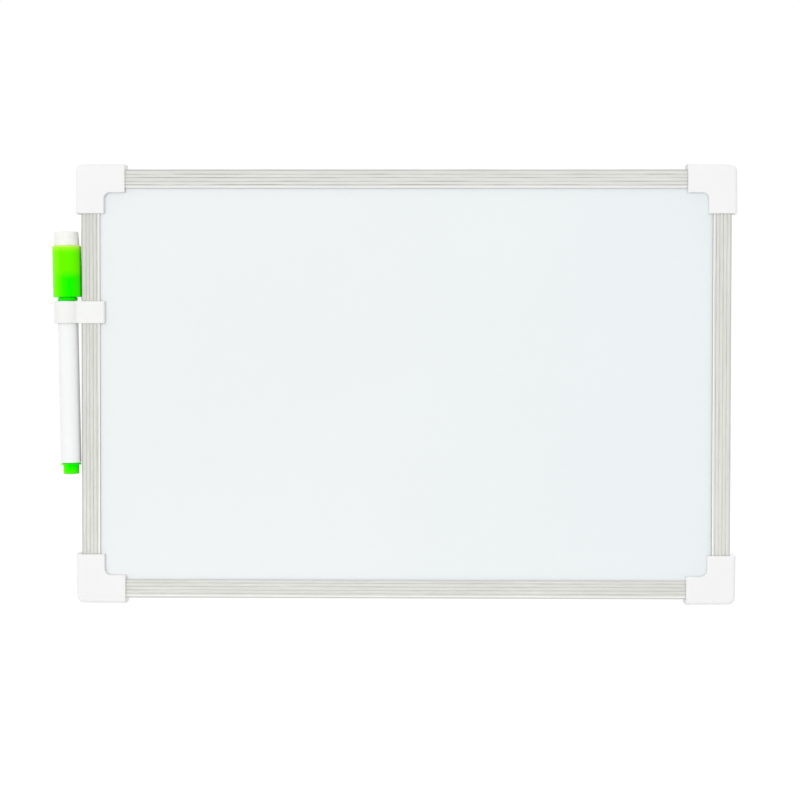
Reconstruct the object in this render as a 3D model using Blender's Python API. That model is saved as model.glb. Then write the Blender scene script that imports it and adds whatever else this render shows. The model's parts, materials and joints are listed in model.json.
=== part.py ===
"""Small magnetic whiteboard with a framed dry-wipe panel and a capped marker in a clip.

Metres, +Z up. The board hangs upright: X runs along its width, the writing face looks along -Y,
and the back of the corner caps lies in the plane y = 0, which is the wall.
The origin is the middle of the board in that plane.
"""

import math

import bmesh
import bpy
from mathutils import Matrix, Vector

# Whole board
BOARD_WIDTH = 0.300
BOARD_HEIGHT = 0.200
FIT_GAP = 0.0003
CUT_OVERRUN = 0.001

# Frame rail, one aluminium extrusion used on all four sides
RAIL_WIDTH = 0.00835
RAIL_DEPTH = 0.0086
RAIL_OUTER_WALL = 0.0010
RAIL_FRONT_WALL = 0.0009
RAIL_BACK_WALL = 0.0009
RAIL_WEB = 0.0008
RAIL_BOX_WIDTH = 0.0038
RAIL_EDGE_RADIUS = 0.0005
RAIL_LIP_BEVEL = 0.00045
REAR_SLOT_WIDTH = 0.0020
REAR_LIP_REACH = 0.0023
REAR_LIP_WALL = 0.0008
GROOVE_COUNT = 4
GROOVE_FIRST = 0.0021
GROOVE_PITCH = 0.0016
GROOVE_WIDTH = 0.0005
GROOVE_DEPTH = 0.00022
RAIL_END_SPACE = 0.00075

# Panel, three layers held in the rails' slot
SHEET_THICKNESS = 0.0004
CORE_THICKNESS = 0.0030
BACK_SHEET_THICKNESS = 0.0003

# Corner caps, moulded plastic
CORNER_ARM = 0.0225
CORNER_OVERHANG = 0.0025
CORNER_INNER_LAP = 0.00215
CORNER_FRONT_WALL = 0.0013
CORNER_BACK_WALL = 0.0010
CORNER_FLARE = 0.0002
CORNER_OUTER_RADIUS = 0.0033
CORNER_INNER_RADIUS = 0.0028
CORNER_FRONT_ROUND = 0.0018
CORNER_BACK_ROUND = 0.0008
CORNER_RIM_CHAMFER = 0.00035
CORNER_POCKET = 0.0045
CORNER_POCKET_FLOOR = 0.0040
SPIGOT_LENGTH = 0.0095
SPIGOT_TAPER = 0.0005

# Marker
MARKER_TILT = math.radians(1.05)
MARKER_WALL_SPACE = 0.0010
BARREL_LENGTH = 0.0735
BARREL_RADIUS = 0.00465
BARREL_WALL = 0.0009
BARREL_CHAMFER = 0.0002
FLANGE_RADIUS = 0.0045
FLANGE_THICKNESS = 0.0014
FLANGE_CHAMFER = 0.0002
SECTION_SPIGOT = 0.0072
SECTION_STUB_RADIUS = 0.0040
SECTION_STUB = 0.0103
SECTION_NOSE_RADIUS = 0.0025
SECTION_NOSE = 0.0035
NIB_RADIUS = 0.0015
NIB_TIP_SPACE = 0.00235
NIB_IN_BARREL = 0.0023
PLUG_LIP_RADIUS = 0.0046
PLUG_LIP_THICKNESS = 0.0007
PLUG_RADIUS = 0.0036
PLUG_LENGTH = 0.0042
PLUG_SPIGOT = 0.0050
PLUG_WALL = 0.0009
PLUG_END_ROUND = 0.0006
RESERVOIR_CHAMFER = 0.0003

# Marker cap
CAP_ABOVE_RING = 0.0019
CAP_LENGTH = 0.02335
CAP_RADIUS = 0.0065
CAP_MOUTH_TAPER = 0.00005
CAP_WALL = 0.00115
CAP_TOP_WALL = 0.0012
CAP_SHOULDER = 0.0005
CAP_MOUTH_CHAMFER = 0.0002
CAP_POST_RADIUS = 0.0020
CAP_POST_HEIGHT = 0.0040
LINER_WALL = 0.0006
LINER_END_WALL = 0.0008
ERASER_BASE_RADIUS = 0.00578
ERASER_TOP_RADIUS = 0.00548
ERASER_HEIGHT = 0.0060
ERASER_EDGE = 0.0004

# Marker clip
CLIP_HEIGHT = 0.01005
CLIP_PLATE = 0.0015
CLIP_HOOK = 0.0021
CLIP_DROP = 0.0673
CLIP_SIDE_WALL = 0.0011
CLIP_BACK_REACH = 0.0060
CLIP_EDGE = 0.0003
CLIP_PLATE_FILLET = 0.0006
CLIP_HOOK_ROUND = 0.0007
CLIP_NUB_WIDTH = 0.0014
CLIP_NUB_DEPTH = 0.0010
RING_CLEARANCE = 0.00045
RING_WALL = 0.00115
RING_RIM = 0.0002

# Hangers that slide in the top rail's rear slot
HANGER_FROM_END = 0.0600
HANGER_WIDTH = 0.0160
HANGER_TOP = 0.0012
HANGER_DROP = 0.0200
HANGER_CORNER = 0.0020
HANGER_EDGE = 0.00025
HANGER_FOOT_LENGTH = 0.0100
HANGER_FOOT_THICKNESS = 0.0014
HANGER_STEM_LENGTH = 0.0080
HANGER_STEM_WIDTH = 0.0014
KEYHOLE_RADIUS = 0.0032
KEYHOLE_SLOT_RADIUS = 0.0017
KEYHOLE_DROP = 0.0145
KEYHOLE_RISE = 0.0042

# Facets of round pieces
ROUND_STEPS = 40
NIB_STEPS = 20
ARC_STEPS = 6
BORE_STEPS = 40
MERGE_SHARE = 0.01
BACK_ROUND_SHARES = (0.0, 0.5, 1.0)
FRONT_ROUND_SHARES = (0.25, 0.5, 0.75, 1.0)

# Depths, from the wall plane at 0 towards the viewer at minus
RAIL_BACK_Y = -(CORNER_BACK_WALL + FIT_GAP)
RAIL_FRONT_Y = RAIL_BACK_Y - RAIL_DEPTH
CORNER_FRONT_Y = RAIL_FRONT_Y - FIT_GAP - CORNER_FRONT_WALL
SLOT_FRONT_Y = RAIL_FRONT_Y + RAIL_FRONT_WALL
SHEET_FRONT_Y = SLOT_FRONT_Y + FIT_GAP
CORE_FRONT_Y = SHEET_FRONT_Y + SHEET_THICKNESS + FIT_GAP
BACK_SHEET_FRONT_Y = CORE_FRONT_Y + CORE_THICKNESS + FIT_GAP
PANEL_BACK_Y = BACK_SHEET_FRONT_Y + BACK_SHEET_THICKNESS
SLOT_BACK_Y = PANEL_BACK_Y + FIT_GAP
BOX_BACK_Y = RAIL_BACK_Y - RAIL_BACK_WALL

# Places across the frame
RAIL_OUTER_X = BOARD_WIDTH / 2 - CORNER_OVERHANG
RAIL_OUTER_Z = BOARD_HEIGHT / 2 - CORNER_OVERHANG
HANGER_X = BOARD_WIDTH / 2 - HANGER_FROM_END
CLIP_CENTRE_Z = BOARD_HEIGHT / 2 - CLIP_DROP
BOX_INNER_SIDE = RAIL_OUTER_WALL + RAIL_BOX_WIDTH
SLOT_BOTTOM = BOX_INNER_SIDE + RAIL_WEB
REAR_SLOT_CENTRE = RAIL_OUTER_WALL + RAIL_BOX_WIDTH / 2
PANEL_EDGE = SLOT_BOTTOM + FIT_GAP
CORNER_WIDTH = CORNER_OVERHANG + RAIL_WIDTH + CORNER_INNER_LAP
RAIL_START = CORNER_OVERHANG + RAIL_WIDTH + RAIL_END_SPACE
BLOCK_EDGE = RAIL_START - FIT_GAP

# Heights along the marker's axis, from the middle of the clip's ring
RING_OUTER_RADIUS = BARREL_RADIUS + RING_CLEARANCE + RING_WALL
CAP_MOUTH_S = CLIP_HEIGHT / 2 + CAP_ABOVE_RING
FLANGE_TOP_S = CAP_MOUTH_S - FIT_GAP
FLANGE_BOTTOM_S = FLANGE_TOP_S - FLANGE_THICKNESS
BARREL_TOP_S = FLANGE_BOTTOM_S - FIT_GAP
BARREL_BOTTOM_S = BARREL_TOP_S - BARREL_LENGTH
BARREL_BORE = BARREL_RADIUS - BARREL_WALL
STUB_TOP_S = FLANGE_TOP_S + SECTION_STUB
NOSE_TOP_S = STUB_TOP_S + SECTION_NOSE
SPIGOT_BOTTOM_S = FLANGE_BOTTOM_S - SECTION_SPIGOT
NIB_BACK_S = SPIGOT_BOTTOM_S - NIB_IN_BARREL
LIP_TOP_S = BARREL_BOTTOM_S - FIT_GAP
PLUG_TOP_S = LIP_TOP_S + PLUG_SPIGOT
CAP_TOP_S = CAP_MOUTH_S + CAP_LENGTH
CAP_CEILING_S = CAP_TOP_S - CAP_TOP_WALL
LINER_TOP_S = CAP_CEILING_S - FIT_GAP
NIB_TIP_S = LINER_TOP_S - LINER_END_WALL - NIB_TIP_SPACE
MARKER_X = -(RAIL_OUTER_X + FIT_GAP + RING_OUTER_RADIUS)
MARKER_Y = -(CAP_RADIUS + MARKER_WALL_SPACE)

# Surface colours, linear, with roughness and metallic
FINISHES = {
    "writing_white": ((0.86, 0.91, 0.92), 0.16, 0.0),
    "core_grey": ((0.42, 0.38, 0.32), 0.85, 0.0),
    "back_white": ((0.70, 0.71, 0.72), 0.45, 0.2),
    "rail_aluminium": ((0.70, 0.69, 0.66), 0.42, 0.75),
    "corner_white": ((0.90, 0.90, 0.90), 0.38, 0.0),
    "clip_white": ((0.88, 0.90, 0.88), 0.35, 0.0),
    "hanger_white": ((0.82, 0.82, 0.80), 0.45, 0.0),
    "barrel_white": ((0.88, 0.89, 0.90), 0.25, 0.0),
    "marker_green": ((0.09, 0.88, 0.01), 0.28, 0.0),
    "liner_natural": ((0.78, 0.80, 0.76), 0.40, 0.0),
    "nib_green": ((0.02, 0.22, 0.03), 0.90, 0.0),
    "reservoir_green": ((0.05, 0.30, 0.05), 0.90, 0.0),
    "eraser_felt": ((0.88, 0.89, 0.84), 0.95, 0.0),
}


def clear_scene():
    for obj in list(bpy.data.objects):
        bpy.data.objects.remove(obj, do_unlink=True)


def finish_material(name):
    """A plain Principled material from FINISHES."""
    made = bpy.data.materials.get(name)
    if made:
        return made
    colour, roughness, metallic = FINISHES[name]
    made = bpy.data.materials.new(name)
    made.use_nodes = True
    shader = made.node_tree.nodes["Principled BSDF"]
    shader.inputs["Base Color"].default_value = (*colour, 1.0)
    shader.inputs["Roughness"].default_value = roughness
    shader.inputs["Metallic"].default_value = metallic
    return made


def add_object(name, mesh, finish, parent=None):
    obj = bpy.data.objects.new(name, mesh)
    bpy.context.scene.collection.objects.link(obj)
    if finish:
        obj.data.materials.clear()
        obj.data.materials.append(finish_material(finish))
    obj.parent = parent
    return obj


def add_empty(name, location, tilt=0.0):
    empty = bpy.data.objects.new(name, None)
    bpy.context.scene.collection.objects.link(empty)
    empty.location = location
    empty.rotation_euler = (0, tilt, 0)
    return empty


def mesh_from(bm, name):
    bmesh.ops.recalc_face_normals(bm, faces=bm.faces)
    mesh = bpy.data.meshes.new(name)
    bm.to_mesh(mesh)
    bm.free()
    return mesh


def smooth(mesh, angle=math.radians(35)):
    mesh.shade_smooth()
    mesh.set_sharp_from_angle(angle=angle)


def stacked_loops(name, loops):
    """A closed mesh through loops of 3-D points with equal counts, capped at both ends."""
    bm = bmesh.new()
    rings = [[bm.verts.new(point) for point in loop] for loop in loops]
    count = len(rings[0])
    for low, high in zip(rings, rings[1:]):
        for i in range(count):
            j = (i + 1) % count
            bm.faces.new((low[i], low[j], high[j], high[i]))
    bm.faces.new(list(reversed(rings[0])))
    bm.faces.new(rings[-1])
    return mesh_from(bm, name)


def prism(name, outline, place, low, high):
    """outline pushed from low to high; place(a, b, t) gives a 3-D point."""
    return stacked_loops(name, [[place(a, b, t) for a, b in outline] for t in (low, high)])


def box_mesh(name, low, high):
    outline = [(low[0], low[1]), (high[0], low[1]), (high[0], high[1]), (low[0], high[1])]
    return prism(name, outline, lambda x, y, z: (x, y, z), low[2], high[2])


def turned_mesh(name, profile, steps):
    """profile is (radius, height) points, spun about Z. It closes on itself unless its ends are on Z."""
    bm = bmesh.new()
    verts = [bm.verts.new((radius, 0, height)) for radius, height in profile]
    edges = [bm.edges.new(pair) for pair in zip(verts, verts[1:])]
    if profile[0][0] > 0 or profile[-1][0] > 0:
        edges.append(bm.edges.new((verts[-1], verts[0])))
    bmesh.ops.spin(bm, geom=verts + edges, cent=(0, 0, 0), axis=(0, 0, 1),
                   angle=math.tau, steps=steps, use_merge=True)
    smallest = min(abs(a[0] - b[0]) + abs(a[1] - b[1]) for a, b in zip(profile, profile[1:]))
    bmesh.ops.remove_doubles(bm, verts=bm.verts, dist=smallest * MERGE_SHARE)
    mesh = mesh_from(bm, name)
    smooth(mesh)
    return mesh


def arc(centre, radius, start, end, steps=ARC_STEPS):
    """Points of a circle's arc in degrees, both ends included."""
    angles = [math.radians(start + (end - start) * i / steps) for i in range(steps + 1)]
    return [(centre[0] + radius * math.cos(a), centre[1] + radius * math.sin(a)) for a in angles]


def cut(obj, name, mesh, operation="DIFFERENCE"):
    """A Boolean modifier whose operand is a hidden wire helper in the same place."""
    tool = add_object(name, mesh, None, obj)
    tool.hide_render = True
    tool.display_type = "WIRE"
    modifier = obj.modifiers.new(name, "BOOLEAN")
    modifier.operation = operation
    modifier.solver = "EXACT"
    modifier.object = tool
    return tool


def bevel_edges(obj, width, segments, angle):
    modifier = obj.modifiers.new("edge_rounding", "BEVEL")
    modifier.width = width
    modifier.segments = segments
    modifier.limit_method = "ANGLE"
    modifier.angle_limit = angle
    modifier.use_clamp_overlap = True
    modifier.harden_normals = False


# Frame rails

def rail_profile():
    """(distance in from the outer face, y) round the extrusion, grooved face first."""
    front = RAIL_FRONT_Y
    back = RAIL_BACK_Y
    radius = RAIL_EDGE_RADIUS
    points = arc((radius, front + radius), radius, 180, 270, 3)
    for i in range(GROOVE_COUNT):
        middle = GROOVE_FIRST + i * GROOVE_PITCH
        points.append((middle - GROOVE_WIDTH / 2, front))
        points.append((middle, front + GROOVE_DEPTH))
        points.append((middle + GROOVE_WIDTH / 2, front))
    points += [
        (RAIL_WIDTH - RAIL_LIP_BEVEL, front),
        (RAIL_WIDTH, front + RAIL_LIP_BEVEL),
        (RAIL_WIDTH, SLOT_FRONT_Y),
        (SLOT_BOTTOM, SLOT_FRONT_Y),
        (SLOT_BOTTOM, SLOT_BACK_Y),
        (SLOT_BOTTOM + REAR_LIP_REACH, SLOT_BACK_Y),
        (SLOT_BOTTOM + REAR_LIP_REACH, SLOT_BACK_Y + REAR_LIP_WALL),
        (SLOT_BOTTOM, SLOT_BACK_Y + REAR_LIP_WALL),
        (SLOT_BOTTOM, back),
        (REAR_SLOT_CENTRE + REAR_SLOT_WIDTH / 2, back),
        (REAR_SLOT_CENTRE + REAR_SLOT_WIDTH / 2, BOX_BACK_Y),
        (BOX_INNER_SIDE, BOX_BACK_Y),
        (BOX_INNER_SIDE, SLOT_FRONT_Y),
        (RAIL_OUTER_WALL, SLOT_FRONT_Y),
        (RAIL_OUTER_WALL, BOX_BACK_Y),
        (REAR_SLOT_CENTRE - REAR_SLOT_WIDTH / 2, BOX_BACK_Y),
        (REAR_SLOT_CENTRE - REAR_SLOT_WIDTH / 2, back),
    ]
    points += arc((radius, back - radius), radius, 90, 180, 3)
    return points


def make_rail(name, span, outer_face, turn):
    """A rail cut square, span between its corners, its outer face at outer_face, turned about Y."""
    half = span / 2 - RAIL_START
    mesh = prism(name, rail_profile(), lambda u, y, x: (x, y, outer_face - u), -half, half)
    obj = add_object(name, mesh, "rail_aluminium")
    obj.rotation_euler = (0, turn, 0)
    return obj


def make_rails():
    make_rail("rail_top", BOARD_WIDTH, RAIL_OUTER_Z, 0)
    make_rail("rail_right", BOARD_HEIGHT, RAIL_OUTER_X, math.radians(90))
    make_rail("rail_bottom", BOARD_WIDTH, RAIL_OUTER_Z, math.radians(180))
    make_rail("rail_left", BOARD_HEIGHT, RAIL_OUTER_X, math.radians(270))


# Panel layers

def make_layer(name, front_y, thickness, finish):
    half_x = RAIL_OUTER_X - PANEL_EDGE
    half_z = RAIL_OUTER_Z - PANEL_EDGE
    mesh = box_mesh(name, (-half_x, front_y, -half_z), (half_x, front_y + thickness, half_z))
    return add_object(name, mesh, finish)


def make_panel():
    make_layer("writing_sheet", SHEET_FRONT_Y, SHEET_THICKNESS, "writing_white")
    make_layer("core_board", CORE_FRONT_Y, CORE_THICKNESS, "core_grey")
    make_layer("back_sheet", BACK_SHEET_FRONT_Y, BACK_SHEET_THICKNESS, "back_white")


# Corner caps

def corner_outline(outer_inset, inner_inset):
    """The L seen from the front, in (along, down): its outer sides flare towards the arms' ends."""
    arm = CORNER_ARM - inner_inset
    width = CORNER_WIDTH - inner_inset
    start = CORNER_FLARE + CORNER_OUTER_RADIUS
    points = [(arm, outer_inset)]
    points += arc((start, start), CORNER_OUTER_RADIUS - outer_inset, 270, 180)
    points += [(outer_inset, arm), (width, arm)]
    middle = CORNER_WIDTH + CORNER_INNER_RADIUS
    points += arc((middle, middle), CORNER_INNER_RADIUS + inner_inset, 180, 270)
    points.append((arm, width))
    return points


def corner_body_mesh():
    """The L built up in layers from its back plane to its front, rounded along its outer edges."""
    layers = []
    for share in BACK_ROUND_SHARES:
        turn = math.radians(90 * share)
        inset = CORNER_BACK_ROUND * (1 - math.sin(turn))
        layers.append((-CORNER_BACK_ROUND * (1 - math.cos(turn)), inset, 0))
    layers.append((CORNER_FRONT_Y + CORNER_FRONT_ROUND, 0, 0))
    for share in FRONT_ROUND_SHARES:
        turn = math.radians(90 * share)
        depth = CORNER_FRONT_ROUND * (1 - math.sin(turn))
        inset = CORNER_FRONT_ROUND * (1 - math.cos(turn))
        chamfer = max(0, CORNER_RIM_CHAMFER - depth)
        layers.append((CORNER_FRONT_Y + depth, inset, chamfer))
    loops = []
    for y, outer_inset, inner_inset in layers:
        loops.append([(a, y, -b) for a, b in corner_outline(outer_inset, inner_inset)])
    return stacked_loops("corner_body", loops)


def corner_cavity_mesh(swap):
    """Room for one rail's end and the panel edge beside it. swap gives the other arm."""
    outer = CORNER_OVERHANG - FIT_GAP
    lip = CORNER_OVERHANG + RAIL_WIDTH + FIT_GAP
    beyond = CORNER_WIDTH + CUT_OVERRUN
    front = RAIL_FRONT_Y - FIT_GAP
    back = RAIL_BACK_Y + FIT_GAP
    outline = [(outer, front), (lip, front), (lip, SLOT_FRONT_Y), (beyond, SLOT_FRONT_Y),
               (beyond, back), (outer, back)]

    def place(across, y, along):
        return (across, y, -along) if swap else (along, y, -across)

    return prism("rail_room", outline, place, BLOCK_EDGE, CORNER_ARM + CUT_OVERRUN)


def corner_slot_mesh():
    """Room for the panel's own corner inside the block."""
    near = CORNER_OVERHANG + PANEL_EDGE - FIT_GAP
    far = CORNER_WIDTH + CUT_OVERRUN
    return box_mesh("panel_room", (near, SLOT_FRONT_Y, -far), (far, SLOT_BACK_Y, -near))


def corner_pocket_mesh():
    """The moulding's cored pocket, open at the back."""
    near = CORNER_OVERHANG
    far = CORNER_OVERHANG + CORNER_POCKET
    return box_mesh("cored_pocket", (near, CORNER_FRONT_Y + CORNER_POCKET_FLOOR, -far),
                    (far, CUT_OVERRUN, -near))


def spigot_mesh(swap):
    """The tongue that fills the rail's box, tapered at its tip."""
    low = CORNER_OVERHANG + RAIL_OUTER_WALL + FIT_GAP
    high = CORNER_OVERHANG + BOX_INNER_SIDE - FIT_GAP
    front = SLOT_FRONT_Y + FIT_GAP
    back = BOX_BACK_Y - FIT_GAP
    tip = BLOCK_EDGE + SPIGOT_LENGTH
    loops = []
    for along, inset in ((BLOCK_EDGE - CUT_OVERRUN, 0), (tip - SPIGOT_TAPER, 0), (tip, SPIGOT_TAPER)):
        ring = [(low + inset, front + inset), (high - inset, front + inset),
                (high - inset, back - inset), (low + inset, back - inset)]
        loops.append([(a, y, -along) if swap else (along, y, -a) for a, y in ring])
    return stacked_loops("spigot", loops)


def corner_mesh():
    """One corner cap with its outer corner at the origin, arms along +X and -Z."""
    body = add_object("corner_pattern", corner_body_mesh(), "corner_white")
    tools = [
        cut(body, "room_along", corner_cavity_mesh(False)),
        cut(body, "room_down", corner_cavity_mesh(True)),
        cut(body, "room_panel", corner_slot_mesh()),
        cut(body, "room_pocket", corner_pocket_mesh()),
        cut(body, "spigot_along", spigot_mesh(False), "UNION"),
        cut(body, "spigot_down", spigot_mesh(True), "UNION"),
    ]
    graph = bpy.context.evaluated_depsgraph_get()
    mesh = bpy.data.meshes.new_from_object(body.evaluated_get(graph))
    mesh.name = "corner_cap"
    for obj in [body, *tools]:
        bpy.data.objects.remove(obj, do_unlink=True)
    smooth(mesh, math.radians(30))
    return mesh


def make_corner_caps():
    mesh = corner_mesh()
    half_x = BOARD_WIDTH / 2
    half_z = BOARD_HEIGHT / 2
    for name, x, z, turn in (
        ("corner_cap_top_left", -half_x, half_z, 0),
        ("corner_cap_top_right", half_x, half_z, 90),
        ("corner_cap_bottom_right", half_x, -half_z, 180),
        ("corner_cap_bottom_left", -half_x, -half_z, 270),
    ):
        obj = add_object(name, mesh, "corner_white")
        obj.location = (x, 0, z)
        obj.rotation_euler = (0, math.radians(turn), 0)


# Hangers

def keyhole_outline():
    """A round hole with a narrower slot above it, in (x, z)."""
    meet = math.degrees(math.asin(KEYHOLE_SLOT_RADIUS / KEYHOLE_RADIUS))
    points = arc((0, 0), KEYHOLE_RADIUS, 90 + meet, 450 - meet, 3 * ARC_STEPS)
    points += arc((0, KEYHOLE_RISE), KEYHOLE_SLOT_RADIUS, 0, 180)
    return points


def hanger_plate_outline():
    """The plate behind the rail, in (x, z) from the rear slot's middle."""
    half = HANGER_WIDTH / 2
    top = REAR_SLOT_CENTRE - HANGER_TOP
    bottom = REAR_SLOT_CENTRE - HANGER_DROP
    radius = HANGER_CORNER
    points = arc((half - radius, bottom + radius), radius, 270, 360, 4)
    points += [(half, top), (-half, top)]
    points += arc((radius - half, bottom + radius), radius, 180, 270, 4)
    return points


def make_hanger(name, x):
    """A plate with a keyhole, a stem through the rear slot and a foot inside the rail's box."""
    mesh = prism(name, hanger_plate_outline(), lambda a, b, y: (a, y, b), -CORNER_BACK_WALL, 0)
    obj = add_object(name, mesh, "hanger_white")
    obj.location = (x, 0, RAIL_OUTER_Z - REAR_SLOT_CENTRE)
    bevel_edges(obj, HANGER_EDGE, 1, math.radians(60))
    foot_back = BOX_BACK_Y - FIT_GAP
    foot_front = foot_back - HANGER_FOOT_THICKNESS
    foot_half = RAIL_BOX_WIDTH / 2 - FIT_GAP
    stem_half = HANGER_STEM_WIDTH / 2
    stem_end = HANGER_STEM_LENGTH / 2
    foot_end = HANGER_FOOT_LENGTH / 2
    in_foot = foot_back - HANGER_FOOT_THICKNESS / 2
    in_plate = -CORNER_BACK_WALL / 2
    cut(obj, name + "_stem",
        box_mesh("stem", (-stem_end, in_foot, -stem_half), (stem_end, in_plate, stem_half)), "UNION")
    cut(obj, name + "_foot",
        box_mesh("foot", (-foot_end, foot_front, -foot_half), (foot_end, foot_back, foot_half)), "UNION")
    centre = REAR_SLOT_CENTRE - KEYHOLE_DROP
    mesh = prism("keyhole", keyhole_outline(), lambda a, b, y: (a, y, b + centre),
                 -CORNER_BACK_WALL - CUT_OVERRUN, CUT_OVERRUN)
    cut(obj, name + "_keyhole", mesh)


# Marker clip

def clip_outline():
    """The clip seen from above, in (distance in from the rail's outer face, y)."""
    centre = (MARKER_X + RAIL_OUTER_X, MARKER_Y)
    radius = RING_OUTER_RADIUS
    plate_back = RAIL_FRONT_Y - FIT_GAP
    plate_front = plate_back - CLIP_PLATE
    hook_near = RAIL_WIDTH + FIT_GAP
    hook_far = hook_near + CLIP_HOOK
    hook_tip = SHEET_FRONT_Y - FIT_GAP
    wall_near = -FIT_GAP
    wall_far = wall_near - CLIP_SIDE_WALL
    back_front = -CORNER_BACK_WALL
    nub_near = REAR_SLOT_CENTRE - CLIP_NUB_WIDTH / 2
    nub_far = REAR_SLOT_CENTRE + CLIP_NUB_WIDTH / 2
    nub_tip = back_front - CLIP_NUB_DEPTH
    fillet = CLIP_PLATE_FILLET
    down = plate_front - fillet - centre[1]
    along = math.sqrt((radius + fillet) ** 2 - down ** 2)
    fillet_centre = (centre[0] + along, plate_front - fillet)
    meet = math.degrees(math.atan2(down, along))
    leave = math.degrees(math.acos((wall_far - centre[0]) / radius))
    corner = (hook_far - CLIP_HOOK_ROUND, plate_front + CLIP_HOOK_ROUND)
    points = [(hook_near, plate_back), (hook_near, hook_tip), (hook_far, hook_tip)]
    points += arc(corner, CLIP_HOOK_ROUND, 0, -90, 4)
    points += arc(fillet_centre, fillet, 90, 180 + meet, 4)
    points += arc(centre, radius, meet, leave - 360, 5 * ARC_STEPS)[1:]
    points += [
        (wall_far, 0),
        (CLIP_BACK_REACH, 0),
        (CLIP_BACK_REACH, back_front),
        (nub_far, back_front),
        (nub_far, nub_tip),
        (nub_near, nub_tip),
        (nub_near, back_front),
        (wall_near, back_front),
        (wall_near, plate_back),
    ]
    return points


def ring_bore_mesh():
    """The ring's bore with its rims eased."""
    radius = BARREL_RADIUS + RING_CLEARANCE
    half = CLIP_HEIGHT / 2
    flare = radius + RING_RIM + CUT_OVERRUN
    profile = [
        (0, -half - CUT_OVERRUN),
        (flare, -half - CUT_OVERRUN),
        (radius, -half + RING_RIM),
        (radius, half - RING_RIM),
        (flare, half + CUT_OVERRUN),
        (0, half + CUT_OVERRUN),
    ]
    mesh = turned_mesh("ring_bore", profile, BORE_STEPS)
    mesh.transform(Matrix.Translation((MARKER_X + RAIL_OUTER_X, MARKER_Y, 0)))
    return mesh


def make_marker_clip():
    """A ring for the barrel joined to a channel that grips the left rail."""
    half = CLIP_HEIGHT / 2
    mesh = prism("marker_clip", clip_outline(), lambda u, y, z: (u, y, z), -half, half)
    smooth(mesh)
    obj = add_object("marker_clip", mesh, "clip_white")
    obj.location = (-RAIL_OUTER_X, 0, CLIP_CENTRE_Z)
    bevel_edges(obj, CLIP_EDGE, 2, math.radians(50))
    cut(obj, "ring_bore", ring_bore_mesh())


# Marker

def add_turned(name, profile, finish, axis, steps=ROUND_STEPS):
    return add_object(name, turned_mesh(name, profile, steps), finish, axis)


def make_barrel(axis):
    ease = BARREL_CHAMFER
    profile = [
        (BARREL_BORE, BARREL_BOTTOM_S),
        (BARREL_RADIUS - ease, BARREL_BOTTOM_S),
        (BARREL_RADIUS, BARREL_BOTTOM_S + ease),
        (BARREL_RADIUS, BARREL_TOP_S - ease),
        (BARREL_RADIUS - ease, BARREL_TOP_S),
        (BARREL_BORE, BARREL_TOP_S),
    ]
    add_turned("marker_barrel", profile, "barrel_white", axis)


def make_end_plug(axis):
    end = LIP_TOP_S - PLUG_LIP_THICKNESS - PLUG_LENGTH
    spigot = BARREL_BORE - FIT_GAP
    inside = spigot - PLUG_WALL
    ease = PLUG_END_ROUND
    profile = [(0, end)]
    profile += arc((PLUG_RADIUS - ease, end + ease), ease, 270, 360, 3)
    profile += [
        (PLUG_RADIUS, LIP_TOP_S - PLUG_LIP_THICKNESS),
        (PLUG_LIP_RADIUS, LIP_TOP_S - PLUG_LIP_THICKNESS),
        (PLUG_LIP_RADIUS, LIP_TOP_S),
        (spigot, LIP_TOP_S),
        (spigot, PLUG_TOP_S),
        (inside, PLUG_TOP_S),
        (inside, end + PLUG_WALL),
        (0, end + PLUG_WALL),
    ]
    add_turned("marker_end_plug", profile, "marker_green", axis)


def make_section(axis):
    """The nib holder: a spigot in the barrel, a flange that shows, a stub and a nose."""
    bore = NIB_RADIUS + FIT_GAP
    spigot = BARREL_BORE - FIT_GAP
    ease = FLANGE_CHAMFER
    profile = [
        (bore, SPIGOT_BOTTOM_S),
        (spigot, SPIGOT_BOTTOM_S),
        (spigot, FLANGE_BOTTOM_S),
        (FLANGE_RADIUS - ease, FLANGE_BOTTOM_S),
        (FLANGE_RADIUS, FLANGE_BOTTOM_S + ease),
        (FLANGE_RADIUS, FLANGE_TOP_S),
        (SECTION_STUB_RADIUS, FLANGE_TOP_S),
        (SECTION_STUB_RADIUS, STUB_TOP_S),
        (SECTION_NOSE_RADIUS, NOSE_TOP_S),
        (bore, NOSE_TOP_S),
    ]
    add_turned("marker_section", profile, "marker_green", axis)


def make_nib(axis):
    """A bullet nib that runs through the section to the reservoir."""
    profile = [(0, NIB_BACK_S), (NIB_RADIUS, NIB_BACK_S)]
    profile += arc((0, NIB_TIP_S - NIB_RADIUS), NIB_RADIUS, 0, 90, 4)[:-1]
    profile.append((0, NIB_TIP_S))
    add_turned("marker_nib", profile, "nib_green", axis, NIB_STEPS)


def make_reservoir(axis):
    radius = BARREL_BORE - FIT_GAP
    top = NIB_BACK_S - FIT_GAP
    bottom = PLUG_TOP_S + FIT_GAP
    ease = RESERVOIR_CHAMFER
    profile = [
        (0, bottom),
        (radius - ease, bottom),
        (radius, bottom + ease),
        (radius, top - ease),
        (radius - ease, top),
        (0, top),
    ]
    add_turned("ink_reservoir", profile, "reservoir_green", axis)


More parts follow.
